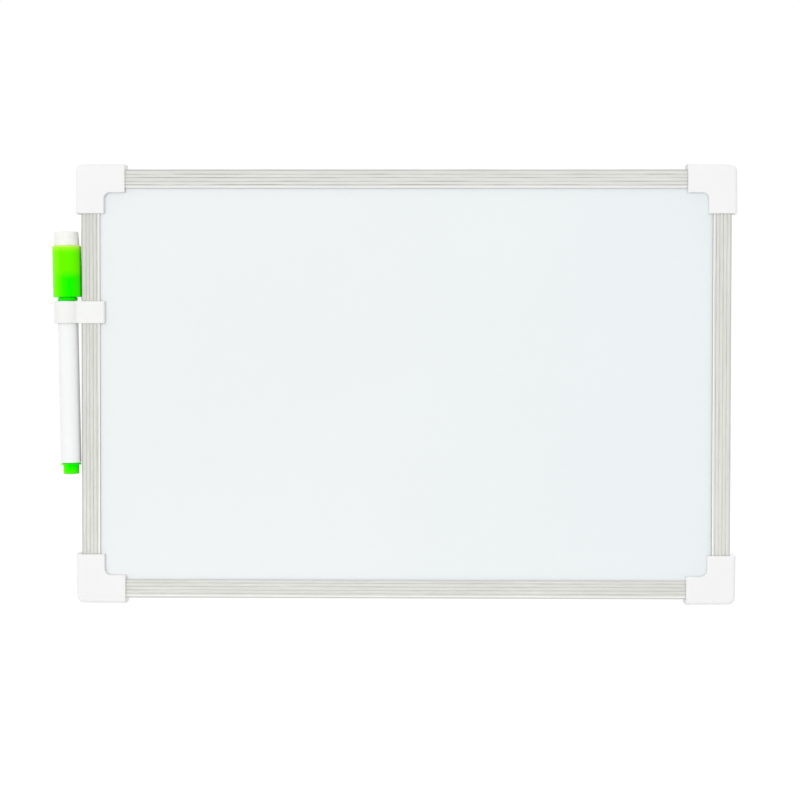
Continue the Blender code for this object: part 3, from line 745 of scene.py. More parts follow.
def drawn_metal(finish, place, lines):
    """Streaks of three lengths, on metal that each rail's own share blends towards a painted
    lighter tone.
    """
    tree = finish.node_tree
    bands = grain(finish, place, scale=900.0, stretch=(0.025, 1.0, 1.0), detail=2.0)
    flecks = grain(finish, place, scale=2600.0, stretch=(0.05, 1.0, 1.0), detail=2.0)
    total = maths(tree, "ADD", maths(tree, "ADD", bands, lines), flecks)
    field = spread(finish, total, 0.0, 1.0, STREAK_SUM_LOW, STREAK_SUM_HIGH)
    metal = blended(finish, field, DARK_METAL, PALE_METAL)
    return blended(finish, kept_on_mesh(finish, "rail_painted_lightness")["Fac"], metal, PAINTED_LIT_METAL)


print("metal streaks ready")

# %% Lip, edge and grooves
LIP_BAND = 0.62 * MM
# Painted highlight on the lip's bevel, and painted shade on the lip's inner wall below it.
LIP_HIGHLIGHT_TONE = tone(252, 252, 251)
WALL_SHADE_TONE = tone(112, 112, 110)
# Painted shade on the outer edge's rounding, and a painted highlight line beside it.
EDGE_BAND = 0.95 * MM
EDGE_SHADE_SHARE = 0.6
EDGE_SHADE_TONE = tone(186, 186, 182)
OUTER_LINE = 0.95 * MM
OUTER_LINE_HALF = 0.30 * MM
LINE_HIGHLIGHT_TONE = tone(244, 244, 242)
# Painted shade in the grooves, in patches along the length.
GROOVE_START = 0.02 * MM
GROOVE_SHADE_SHARE = 0.4
GROOVE_SHADE_TONE = tone(158, 157, 152)
SHADE_PATCH_LEAST = 0.1
SHADE_PATCH_MOST = 1.7


def overlap(finish, *masks):
    """Where all the masks meet, which is their product."""
    product = masks[0]
    for mask in masks[1:]:
        product = maths(finish.node_tree, "MULTIPLY", product, mask)
    return product


def up_to(finish, axis, solid, gone):
    """1 as far as solid on an axis, and down to 0 at gone."""
    return spread(finish, axis, 1.0, 0.0, solid, gone)


def lip_and_wall(finish, axes, light_shares, metal):
    """A painted highlight on the lip along the sheet, over painted shade on the wall that drops to
    it.
    """
    front = up_to(finish, axes["Y"], RAIL_FRONT + LIP_BEVEL, RAIL_FRONT + LIP_BAND)
    on_lip = up_to(finish, axes["Z"], LIP_BEVEL - RAIL_WIDTH, LIP_BAND - RAIL_WIDTH)
    metal = blended(finish, overlap(finish, front, on_lip, light_shares["X"]), metal, LIP_HIGHLIGHT_TONE)
    on_wall = up_to(finish, axes["Z"], LIP_EASE - RAIL_WIDTH, 2 * LIP_EASE - RAIL_WIDTH)
    below = spread(finish, axes["Y"], 0.0, 1.0, RAIL_FRONT + LIP_BEVEL / 2, RAIL_FRONT + LIP_BEVEL)
    share = kept_on_mesh(finish, "rail_wall_shade")["Fac"]
    return blended(finish, overlap(finish, on_wall, below, share), metal, WALL_SHADE_TONE)


def outer_edge(finish, axes, light_shares, metal):
    """Painted shade on the outer edge, and the painted highlight line that some rails have beside
    it.
    """
    tree = finish.node_tree
    outer = spread(finish, axes["Z"], 0.0, EDGE_SHADE_SHARE, -EDGE_BAND, -EDGE_BAND / 2)
    fore = up_to(finish, axes["Y"], RAIL_FRONT + EDGE_RADIUS, RAIL_FRONT + EDGE_BAND)
    metal = blended(finish, overlap(finish, outer, fore), metal, EDGE_SHADE_TONE)
    distance = maths(tree, "ABSOLUTE", maths(tree, "ADD", axes["Z"], OUTER_LINE))
    on_line = up_to(finish, distance, OUTER_LINE_HALF / 2, OUTER_LINE_HALF)
    return blended(finish, overlap(finish, on_line, light_shares["Y"]), metal, LINE_HIGHLIGHT_TONE)


def groove_shade(finish, place, axes, light_shares, metal):
    """Painted shade in the grooves, which comes and goes along the length."""
    start, floor = RAIL_FRONT + GROOVE_START, RAIL_FRONT + GROOVE_DEPTH
    sunk = spread(finish, axes["Y"], 0.0, GROOVE_SHADE_SHARE, start, floor)
    off_lip = spread(finish, axes["Z"], 0.0, 1.0, LIP_BEVEL - RAIL_WIDTH, LIP_BAND - RAIL_WIDTH)
    patches = grain(finish, place, scale=500.0, stretch=(0.08, 1.0, 1.0), detail=2.0)
    shade_patches = spread(finish, patches, SHADE_PATCH_LEAST, SHADE_PATCH_MOST, from_low=0.35, from_high=0.65)
    return blended(finish, overlap(finish, sunk, off_lip, light_shares["Z"], shade_patches), metal, GROOVE_SHADE_TONE)


print("grooves", round(GROOVE_DEPTH / MM, 2), "mm deep")

# %% Drawn aluminium
def drawn_aluminium():
    finish, shader = new_finish("drawn_aluminium", tone(220, 219, 214), roughness=0.4, metallic=1.0)
    shader.inputs["Specular Tint"].default_value = METAL_GLINT
    tree = finish.node_tree
    place = kept_on_mesh(finish, "rail_place")["Vector"]
    axes = axes_of(tree, place)
    light_shares = axes_of(tree, kept_on_mesh(finish, "rail_light_shares")["Vector"])
    lines = grain(finish, place, scale=3200.0, stretch=(0.004, 1.0, 1.0), detail=3.0)
    metal = drawn_metal(finish, place, lines)
    metal = lip_and_wall(finish, axes, light_shares, metal)
    metal = outer_edge(finish, axes, light_shares, metal)
    wire(finish, groove_shade(finish, place, axes, light_shares, metal), shader, "Base Color")
    roughened(finish, shader, lines, low=0.30, high=0.48)
    bumped(finish, shader, lines, depth=0.010 * MM)
    return finish


print("drawn aluminium ready")

# %% Four rails
def add_rails():
    """light_shares holds the shares of the painted lip highlight, the painted outer highlight line
    and the painted groove shade.
    """
    tree = rail_tree()
    finish = drawn_aluminium()
    outline = rail_outline()
    # name, node, turn, light shares, painted lightness, and the share of painted shade on the lip's
    # wall
    for name, node, turn, light_shares, painted_lightness, wall in (
        ("top_rail", "rail_top", 0, (1.0, 0.0, 1.80), 0.32, 0.9),
        ("right_rail", "rail_right", 90, (1.0, 0.0, 1.10), 0.20, 1.0),
        ("bottom_rail", "rail_bottom", 180, (0.1, 0.8, 0.60), 0.05, 0.1),
        ("left_rail", "rail_left", 270, (1.0, 0.0, 0.65), 0.0, 0.5),
    ):
        low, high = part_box(node)
        upright = turn in (90, 270)
        length = high.z - low.z if upright else high.x - low.x
        outer = max(abs(low.x), abs(high.x)) if upright else max(abs(low.z), abs(high.z))
        bm = bmesh.new()
        face = bm.faces.new([bm.verts.new((0, depth, -across)) for across, depth in outline])
        face.normal_update()
        if face.normal.x < 0:
            face.normal_flip()
        mesh = bpy.data.meshes.new(name)
        bm.to_mesh(mesh)
        bm.free()
        rail = add_piece(name, mesh, finish)
        run_tree(rail, tree, {
            "Length": length, "Outer Face": outer, "Turn": (0, math.radians(turn), 0),
            "Light Shares": light_shares, "Lightness": painted_lightness, "Wall": wall, "Finish": finish,
        })
        rail.data.shade_smooth()
        rail.data.set_sharp_from_angle(angle=SMOOTH_ANGLE)
        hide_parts(node)
        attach(rail, "board")
        print(name, round(length / MM, 1), "mm long")


add_rails()

# %% [markdown]
# ## The corner caps
#
# Each cap is one moulding of satin white plastic: an L that laps over two rails, softly rounded
# along its outer edges and lightly along its inner ones, with a tongue for each rail's box and a
# cored pocket behind. The rounded shell is a stack of L outlines, each a little smaller than the
# one below. The rooms for the rails are then cut from it, and the tongues are joined on. Behind,
# each arm carries the shallow round mark that a mould's ejector pin leaves.

# %% Satin moulded plastic
CLOUD_LEVELS = 2
ROUGHNESS_BELOW = 0.05
ROUGHNESS_ABOVE = 0.06


def scattering(shader, weight, depth):
    """Light that enters the plastic and leaves it again within about depth."""
    shader.inputs["Subsurface Weight"].default_value = weight
    shader.inputs["Subsurface Radius"].default_value = (depth, depth, depth)
    shader.inputs["Subsurface Scale"].default_value = 1.0


def moulded_white(name, colour, roughness, grain_depth):
    """White plastic from a spark-eroded mould: a fine even grain and no sparkle."""
    finish, shader = new_finish(name, tone(*colour), roughness, specular=0.35)
    place = place_from(finish)
    cloud = spread(finish, grain(finish, place, scale=60.0), 0.0, 1.0)
    mottled(finish, shader, cloud, [v - CLOUD_LEVELS for v in colour], colour)
    skin = grain(finish, place, scale=5200.0, detail=2.0)
    roughened(finish, shader, skin, roughness - ROUGHNESS_BELOW, roughness + ROUGHNESS_ABOVE)
    bumped(finish, shader, skin, grain_depth)
    scattering(shader, weight=0.08, depth=1.0 * MM)
    return finish


print("moulded plastic ready")

# %% Corner cap shell
CAP_OVERHANG = 2.5 * MM
CAP_INNER_LAP = 2.15 * MM
CAP_FLARE = 0.2 * MM
CAP_CORNER_RADIUS = 3.3 * MM
CAP_INSIDE_RADIUS = 2.8 * MM
CAP_FRONT_ROUND = 1.8 * MM
CAP_BACK_ROUND = 0.8 * MM
CAP_RIM_RADIUS = 0.45 * MM
CAP_POCKET = 4.5 * MM
CAP_POCKET_FLOOR = 4.0 * MM
PIN_MARK_RADIUS = 1.3 * MM
PIN_MARK_DEPTH = 0.25 * MM
PIN_MARK_FROM_END = 5.0 * MM
PIN_MARK_STEPS = 24
TONGUE_LENGTH = 9.5 * MM
TONGUE_TAPER = 0.5 * MM
TONGUE_RADIUS = 0.3 * MM
TONGUE_EASE_STEPS = 3
OVERRUN = 1.0 * MM
SNUG_GAP = 0.06 * MM
SHEET_ROOM = sheet_low.y - SNUG_GAP
ARC_STEPS = 12
LAYER_STEPS = 8
cap_low, cap_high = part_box("corner_cap_top_left")
CAP_ARM = cap_high.x - cap_low.x
CAP_FRONT = cap_low.y
CAP_WIDTH = CAP_OVERHANG + RAIL_WIDTH + CAP_INNER_LAP
RAIL_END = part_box("rail_top")[0].x - cap_low.x


def arc(centre, radius, start, end, steps=ARC_STEPS):
    """Points of a circle's arc in degrees, both ends included."""
    angles = [math.radians(start + (end - start) * k / steps) for k in range(steps + 1)]
    return [(centre[0] + radius * math.cos(a), centre[1] + radius * math.sin(a)) for a in angles]


def cap_outline(outer_inset, inner_inset):
    """The L seen from the front, in (along, down) from the outer corner."""
    arm = CAP_ARM - inner_inset
    width = CAP_WIDTH - inner_inset
    start = CAP_FLARE + CAP_CORNER_RADIUS
    points = [(arm, outer_inset)]
    points += arc((start, start), CAP_CORNER_RADIUS - outer_inset, 270, 180)
    points += [(outer_inset, arm), (width, arm)]
    middle = CAP_WIDTH + CAP_INSIDE_RADIUS
    points += arc((middle, middle), CAP_INSIDE_RADIUS + inner_inset, 180, 270)
    points.append((arm, width))
    return points


def cap_shell():
    """L outlines stacked from the eased back, straight up the sides, to the rounded front."""
    layers = []
    for k in range(LAYER_STEPS // 2 + 1):
        turn = math.radians(90) * 2 * k / LAYER_STEPS
        inset = CAP_BACK_ROUND * (1 - math.sin(turn))
        layers.append((-CAP_BACK_ROUND * (1 - math.cos(turn)), inset, 0))
    for k in range(LAYER_STEPS + 1):
        turn = math.radians(90) * k / LAYER_STEPS
        depth = CAP_FRONT_ROUND * (1 - math.sin(turn))
        inner = 0
        if depth < CAP_RIM_RADIUS:
            inner = CAP_RIM_RADIUS - math.sqrt(CAP_RIM_RADIUS ** 2 - (CAP_RIM_RADIUS - depth) ** 2)
        layers.append((CAP_FRONT + depth, CAP_FRONT_ROUND * (1 - math.cos(turn)), inner))
    loops = []
    for y, outer_inset, inner_inset in layers:
        loops.append([(a, y, -b) for a, b in cap_outline(outer_inset, inner_inset)])
    return stacked("cap_shell", loops)


print("corner cap's arms are", round(CAP_ARM / MM, 1), "by", round(CAP_WIDTH / MM, 1), "mm")

# %% Rooms and tongues
def swapped(mesh):
    """The same tool for the other arm: along and down change places."""
    other = mesh.copy()
    other.transform(Matrix(((0, 0, -1, 0), (0, 1, 0, 0), (-1, 0, 0, 0), (0, 0, 0, 1))))
    other.flip_normals()
    return other


def rail_room():
    """Room for one rail's end and for the panel's edge beside it, snug where a gap would show."""
    outer = CAP_OVERHANG - SNUG_GAP
    lip = CAP_OVERHANG + RAIL_WIDTH + SNUG_GAP
    beyond = CAP_WIDTH + OVERRUN
    front = RAIL_FRONT - SNUG_GAP
    back = RAIL_BACK + FIT_GAP
    outline = [(outer, front), (lip, front), (lip, SHEET_ROOM), (beyond, SHEET_ROOM),
               (beyond, back), (outer, back)]
    ends = (RAIL_END - FIT_GAP, CAP_ARM + OVERRUN)
    return stacked("rail_room", [[(x, y, -across) for across, y in outline] for x in ends])


def box_room(low, high):
    """A plain box between two corners, to cut away or to join on."""
    outline = [(low[0], low[1]), (high[0], low[1]), (high[0], high[1]), (low[0], high[1])]
    return stacked("box_room", [[(x, y, z) for x, y in outline] for z in (low[2], high[2])])


def tongue():
    """The tongue that fills the rail's box, with eased edges and a tapered tip."""
    low = CAP_OVERHANG + OUTER_WALL + FIT_GAP
    high = CAP_OVERHANG + SLOT_BOTTOM - WEB - FIT_GAP
    front = SLOT_FRONT + FIT_GAP
    back = RAIL_BACK - BACK_WALL - FIT_GAP
    start = RAIL_END - FIT_GAP
    outline = eased([(low, front, TONGUE_RADIUS), (high, front, TONGUE_RADIUS),
                     (high, back, TONGUE_RADIUS), (low, back, TONGUE_RADIUS)], TONGUE_EASE_STEPS)
    loops = []
    for x, inset in ((start - OVERRUN, 0), (start + TONGUE_LENGTH - TONGUE_TAPER, 0),
                     (start + TONGUE_LENGTH, TONGUE_TAPER / 2)):
        loops.append([(x, y, -across) for across, y in inset_outline(outline, inset)])
    return stacked("tongue", loops)


def pin_mark():
    """The ejector pin's mark in the back of an arm."""
    centre = (CAP_ARM - PIN_MARK_FROM_END, -CAP_WIDTH / 2)
    last = 360 - 360 / PIN_MARK_STEPS
    ring = arc(centre, PIN_MARK_RADIUS, 0, last, PIN_MARK_STEPS - 1)
    return stacked("pin_mark", [[(x, y, z) for x, z in ring] for y in (-PIN_MARK_DEPTH, OVERRUN)])


print("tongues", round(TONGUE_LENGTH / MM, 1), "mm long")

# %% One corner cap
def corner_cap(name, finish):
    """One cap with its outer corner at the origin and its arms along +X and -Z."""
    cap = add_piece(name, cap_shell(), finish)
    near = CAP_OVERHANG + SLOT_BOTTOM
    far = CAP_WIDTH + OVERRUN
    pocket_far = CAP_OVERHANG + CAP_POCKET
    room = rail_room()
    arm = tongue()
    mark = pin_mark()
    cut(cap, [
        ("DIFFERENCE", room),
        ("DIFFERENCE", swapped(room)),
        ("DIFFERENCE", box_room((near, SHEET_ROOM, -far), (far, SLOT_BACK, -near))),
        ("DIFFERENCE", box_room((CAP_OVERHANG, CAP_FRONT + CAP_POCKET_FLOOR, -pocket_far),
                                (pocket_far, OVERRUN, -CAP_OVERHANG))),
        ("DIFFERENCE", mark),
        ("DIFFERENCE", swapped(mark)),
        ("UNION", arm),
        ("UNION", swapped(arm)),
    ])
    return cap


print("pocket", round(CAP_POCKET / MM, 1), "mm wide behind each corner")

# %% Four corner caps
def add_corner_caps():
    finish = moulded_white("satin_moulding", (241, 241, 241), roughness=0.40,
                           grain_depth=0.004 * MM)
    pattern = corner_cap("cap_pattern", finish)
    for name, node, turn in (
        ("top_left_cap", "corner_cap_top_left", 0),
        ("top_right_cap", "corner_cap_top_right", 90),
        ("bottom_right_cap", "corner_cap_bottom_right", 180),
        ("bottom_left_cap", "corner_cap_bottom_left", 270),
    ):
        low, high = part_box(node)
        x = low.x if "left" in node else high.x
        z = high.z if "top" in node else low.z
        mesh = pattern.data.copy()
        turned_round = Matrix.Rotation(math.radians(turn), 4, "Y")
        mesh.transform(Matrix.Translation((x, 0, z)) @ turned_round)
        cap = add_piece(name, mesh, finish)
        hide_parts(node)
        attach(cap, "board")
    print("corner cap mesh has", len(pattern.data.polygons), "faces")
    bpy.data.objects.remove(pattern, do_unlink=True)


add_corner_caps()

# %% [markdown]
# ## The hangers
#
# Two flat mouldings slide in the rear slot of the top rail. Each has a foot inside the rail's box,
# a stem through the slot and a keyhole for a screw's head. The plate has rounded rims, so its
# outline goes through the plate helper, and the keyhole is cut by a flared tool, which eases the
# hole's edge in the same cut.

# %% Keyhole
HANGER_WIDTH = 16.0 * MM
HANGER_THICKNESS = 1.0 * MM
HANGER_TOP = 1.2 * MM
HANGER_DROP = 20.0 * MM
HANGER_CORNER = 2.0 * MM
HANGER_TOP_CORNER = 0.6 * MM
HANGER_RIM = 0.2 * MM
FOOT_LENGTH = 10.0 * MM
FOOT_THICKNESS = 1.4 * MM
STEM_LENGTH = 8.0 * MM
STEM_WIDTH = 1.4 * MM
KEYHOLE_RADIUS = 3.2 * MM
KEYHOLE_SLOT_RADIUS = 1.7 * MM
KEYHOLE_DROP = 14.5 * MM
KEYHOLE_RISE = 4.2 * MM
KEYHOLE_EASE = 0.15 * MM
KEYHOLE_STEPS = 36
KEYHOLE_SLOT_STEPS = 16
REAR_MIDDLE = (OUTER_WALL + SLOT_BOTTOM - WEB) / 2


def keyhole(centre_z):
    """A round hole with a narrow slot above it, in (x, z)."""
    meet = math.degrees(math.asin(KEYHOLE_SLOT_RADIUS / KEYHOLE_RADIUS))
    points = arc((0, centre_z), KEYHOLE_RADIUS, 90 + meet, 450 - meet, KEYHOLE_STEPS)
    slot_centre = (0, centre_z + KEYHOLE_RISE)
    return points + arc(slot_centre, KEYHOLE_SLOT_RADIUS, 0, 180, KEYHOLE_SLOT_STEPS)


print("keyhole", round(2 * KEYHOLE_RADIUS / MM, 1), "mm round")

# %% Two hangers
def add_hanger(name, node, finish):
    low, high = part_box(node)
    middle_x = (low.x + high.x) / 2
    slot_z = rail_high.z - REAR_MIDDLE
    half = HANGER_WIDTH / 2
    top = rail_high.z - HANGER_TOP
    bottom = rail_high.z - HANGER_DROP
    outline = eased([(-half, bottom, HANGER_CORNER), (half, bottom, HANGER_CORNER),
                     (half, top, HANGER_TOP_CORNER), (-half, top, HANGER_TOP_CORNER)])
    front = -HANGER_THICKNESS
    mesh = plate(name, outline, lambda a, b, y: (a, y, b), front, 0, HANGER_RIM)
    hanger = add_piece(name, mesh, finish)
    foot_back = RAIL_BACK - BACK_WALL - FIT_GAP
    foot_front = foot_back - FOOT_THICKNESS
    foot_half = (SLOT_BOTTOM - WEB - OUTER_WALL) / 2 - FIT_GAP
    in_foot = (foot_back + foot_front) / 2
    hole = keyhole(rail_high.z - KEYHOLE_DROP)
    flare = [(front - KEYHOLE_EASE, -2 * KEYHOLE_EASE), (front + KEYHOLE_EASE, 0),
             (-KEYHOLE_EASE, 0), (KEYHOLE_EASE, -2 * KEYHOLE_EASE)]
    loops = [[(a, y, b) for a, b in inset_outline(hole, inset)] for y, inset in flare]
    cut(hanger, [
        ("UNION", box_room((-STEM_LENGTH / 2, in_foot, slot_z - STEM_WIDTH / 2),
                           (STEM_LENGTH / 2, front / 2, slot_z + STEM_WIDTH / 2))),
        ("UNION", box_room((-FOOT_LENGTH / 2, foot_front, slot_z - foot_half),
                           (FOOT_LENGTH / 2, foot_back, slot_z + foot_half))),
        ("DIFFERENCE", stacked("keyhole", loops)),
    ])
    hanger.data.transform(Matrix.Translation((middle_x, 0, 0)))
    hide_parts(node)
    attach(hanger, "left_hanger" if middle_x < 0 else "right_hanger")
    print(name, "at x", round(middle_x / MM, 1), "mm")


hanger_finish = moulded_white("hanger_moulding", (232, 232, 229), roughness=0.42,
                              grain_depth=0.006 * MM)
add_hanger("left_hanger_plate", "hanger_left", hanger_finish)
add_hanger("right_hanger_plate", "hanger_right", hanger_finish)

# %% [markdown]
# ## The marker's axis
#
# The marker leans by about a degree in its clip. Its pieces are turned about their own Z axis
# first, and one matrix then seats them all. The axis comes from the frame: its direction from the
# joint that lifts the marker, and a point on it from the middle of the barrel's box.

# %% Axis and reaches from the frame
lift_joint = next(joint for joint in frame["joints"] if joint["name"] == "marker_lift")
marker_axis = Vector(lift_joint["axis"]).normalized()
clip_low, clip_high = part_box("marker_clip")
CLIP_MIDDLE = (clip_low.z + clip_high.z) / 2
CLIP_HALF = (clip_high.z - clip_low.z) / 2


def marker_seat():
    low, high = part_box("marker_barrel")
    middle = (low + high) / 2
    origin = middle + marker_axis * (CLIP_MIDDLE - middle.z) / marker_axis.z
    turn = Vector((0, 0, 1)).rotation_difference(marker_axis)
    return Matrix.Translation(origin) @ turn.to_matrix().to_4x4()


SEAT = marker_seat()
UNSEAT = SEAT.inverted()


def reach(node):
    """(lowest, highest, largest radius) of a node on the marker's axis, from the clip's middle."""
    points = [UNSEAT @ vert.co for vert in frame["nodes"][node].data.vertices]
    heights = [p.z for p in points]
    return min(heights), max(heights), max(math.hypot(p.x, p.y) for p in points)


BARREL_LOW, BARREL_HIGH, BARREL_RADIUS = reach("marker_barrel")
PLUG_LOW, PLUG_HIGH, PLUG_LIP_RADIUS = reach("marker_end_plug")
SECTION_LOW, SECTION_HIGH, FLANGE_RADIUS = reach("marker_section")
NIB_LOW, NIB_HIGH, NIB_RADIUS = reach("marker_nib")
CAP_MOUTH, CAP_POST_TOP, CAP_RADIUS = reach("marker_cap")
LINER_LOW, LINER_HIGH, LINER_RADIUS = reach("cap_inner_liner")
FELT_LOW, FELT_HIGH, FELT_RADIUS = reach("cap_eraser")
print("marker from", round(PLUG_LOW / MM, 2), "to", round(FELT_HIGH / MM, 2), "mm along its axis")

# %% [markdown]
# ## The clip
#
# The clip is one moulding: a ring round the barrel, and a flat channel that wraps the rail and
# hooks over its lip. Seen from above it is a single outline, so the outline goes through the plate
# helper, which rounds its top and bottom rims, and a flared tool bores the ring.

# %% Clip outline
CLIP_PLATE = 1.5 * MM
CLIP_HOOK = 2.1 * MM
CLIP_SIDE_WALL = 1.1 * MM
CLIP_BACK_REACH = 6.0 * MM
CLIP_RIM = 0.35 * MM
CLIP_FILLET = 0.6 * MM
CLIP_HOOK_ROUND = 0.9 * MM
CLIP_EASE = 0.25 * MM
NUB_WIDTH = 1.4 * MM
NUB_DEPTH = 1.0 * MM
RING_CLEARANCE = 0.45 * MM
RING_WALL = 1.15 * MM
RING_STEPS = 64
RING_RIM = 0.3 * MM
RING_RIM_STEPS = 4
FILLET_STEPS = 8


def clip_outline():
    """The clip from above, in (distance in from the rail's outer face, depth)."""
    rail_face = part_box("rail_left")[0].x
    centre = Vector((SEAT.translation.x - rail_face, SEAT.translation.y))
    radius = BARREL_RADIUS + RING_CLEARANCE + RING_WALL
    plate_back = RAIL_FRONT - SNUG_GAP
    plate_front = RAIL_FRONT - FIT_GAP - CLIP_PLATE
    hook_near = RAIL_WIDTH + FIT_GAP
    hook_far = hook_near + CLIP_HOOK
    hook_tip = SHEET_ROOM
    wall_near = -FIT_GAP
    wall_far = wall_near - CLIP_SIDE_WALL
    leaf = RAIL_BACK + FIT_GAP
    nub_near = REAR_MIDDLE - NUB_WIDTH / 2
    nub_far = REAR_MIDDLE + NUB_WIDTH / 2
    down = plate_front - CLIP_FILLET - centre.y
    along = math.sqrt((radius + CLIP_FILLET) ** 2 - down ** 2)
    fillet_centre = (centre.x + along, plate_front - CLIP_FILLET)
    meet = math.degrees(math.atan2(down, along))
    leave = math.degrees(math.acos((wall_far - centre.x) / radius))
    ring = arc(centre, radius, meet, leave - 360, RING_STEPS)[1:]
    fillet = arc(fillet_centre, CLIP_FILLET, 90, 180 + meet, FILLET_STEPS)
    corners = [
        (hook_near, plate_back, CLIP_EASE),
        (hook_near, hook_tip, CLIP_EASE),
        (hook_far, hook_tip, CLIP_EASE),
        (hook_far, plate_front, CLIP_HOOK_ROUND),
    ]
    corners += [(x, y, 0) for x, y in fillet + ring]
    corners += [
        (wall_far, 0, CLIP_EASE),
        (CLIP_BACK_REACH, 0, CLIP_EASE),
        (CLIP_BACK_REACH, leaf, CLIP_EASE),
        (nub_far, leaf, CLIP_EASE),
        (nub_far, leaf - NUB_DEPTH, CLIP_EASE),
        (nub_near, leaf - NUB_DEPTH, CLIP_EASE),
        (nub_near, leaf, CLIP_EASE),
        (wall_near, leaf, CLIP_EASE),
        (wall_near, plate_back, CLIP_EASE),
    ]
    return eased(corners), rail_face, centre


print("clip outline has", len(clip_outline()[0]), "points")

# %% Clip
def ring_bore(centre_x, centre_y):
    """The tool that bores the ring, flared at both ends so that it rounds the ring's rims too."""
    radius = BARREL_RADIUS + RING_CLEARANCE
    flare = radius + RING_RIM
    top = CLIP_HALF
    beyond = CLIP_HALF + OVERRUN
    profile = [(0, -beyond), (flare, -beyond)]
    profile += arc((flare, -top + RING_RIM), RING_RIM, 270, 180, RING_RIM_STEPS)
    profile += arc((flare, top - RING_RIM), RING_RIM, 180, 90, RING_RIM_STEPS)
    profile += [(flare, beyond), (0, beyond)]
    mesh = turned("ring_bore", profile)
    mesh.transform(Matrix.Translation((centre_x, centre_y, CLIP_MIDDLE)))
    return mesh


def add_clip():
    outline, rail_face, centre = clip_outline()
    low = CLIP_MIDDLE - CLIP_HALF
    high = CLIP_MIDDLE + CLIP_HALF
    mesh = plate("clip", outline, lambda a, b, z: (rail_face + a, b, z), low, high, CLIP_RIM)
    finish = moulded_white("clip_gloss", (241, 242, 240), roughness=0.22, grain_depth=0.003 * MM)
    clip = add_piece("clip_moulding", mesh, finish)
    cut(clip, [("DIFFERENCE", ring_bore(rail_face + centre.x, centre.y))])
    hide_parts("marker_clip")
    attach(clip, "clip")
    print("clip has", len(clip.data.polygons), "faces")


add_clip()

# %% [markdown]
# ## The marker's body
#
# The barrel is a thin extruded tube in gloss white. A green section holds the nib and closes the
# barrel's top, and only its flange shows below the cap. The reservoir lies inside. All of these
# are turned shapes, so each is a short profile of eased corners.

# %% Turned pieces on the marker's axis
def add_turned(name, profile, finish, node, body):
    mesh = turned(name, profile)
    mesh.transform(SEAT)
    piece = add_piece(name, mesh, finish)
    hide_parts(node)
    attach(piece, body)
    return piece


BARREL_WALL = 0.9 * MM
BARREL_EASE = 0.2 * MM
BARREL_BORE = BARREL_RADIUS - BARREL_WALL


def barrel_plastic():
    """Gloss white with the faint lengthwise lines of an extruded tube."""
    finish, shader = new_finish("barrel_gloss", tone(242, 243, 243), roughness=0.14)
    lines = grain(finish, place_from(finish), scale=2600.0, stretch=(1.0, 1.0, 0.02), detail=2.0)
    mottled(finish, shader, spread(finish, lines, 0, 1), (241, 242, 242), (243, 244, 244))
    roughened(finish, shader, lines, low=0.10, high=0.18)
    bumped(finish, shader, lines, depth=0.004 * MM)
    scattering(shader, weight=0.05, depth=1.5 * MM)
    return finish


def add_barrel():
    profile = eased([
        (BARREL_BORE, BARREL_LOW, 0),
        (BARREL_RADIUS, BARREL_LOW, BARREL_EASE),
        (BARREL_RADIUS, BARREL_HIGH, BARREL_EASE),
        (BARREL_BORE, BARREL_HIGH, 0),
    ])
    add_turned("barrel_tube", profile, barrel_plastic(), "marker_barrel", "marker")


add_barrel()
print("barrel", round((BARREL_HIGH - BARREL_LOW) / MM, 1), "mm long")

# %% [markdown]
# The green is a clear, saturated polypropylene. Its colour carries painted light: a lit, yellower
# green is painted on the left side, a painted highlight at the shoulder, and a deeper green is
# painted lower down for the shade of the section inside the cap. Slow changes of colour along and
# across the axis carry that, and the rest is fine mould texture.

# %% Green plastic
# Painted light: the side of the green that the light falls on is painted this yellower green.
LIT_SIDE_GREEN = (150, 252, 0)
# Painted highlight at the cap's shoulder and rim.
SHOULDER_HIGHLIGHT_GREEN = (198, 248, 56)
RIM_HIGHLIGHT_GREEN = (232, 252, 176)
SHOULDER_FADE = 4.0 * MM
RIM_FADE = 0.7 * MM
RIM_HIGHLIGHT_SHARE = 0.85
DEEP_LINE = 2.4 * MM
GREEN_ROUGHNESS = 0.32
GREEN_ROUGHNESS_SWING = 0.05
GREEN_GLINT = (0.25, 1.0, 0.02, 1)
CLOUD_SHARE = 0.5


def toward_left(finish, axes, middle_x, reach_x):
    """0 at the piece's middle, rising smoothly to 1 at its left side."""
    side = spread(finish, axes["X"], 1.0, 0.0, middle_x - reach_x, middle_x)
    side.node.interpolation_type = "SMOOTHSTEP"
    return side


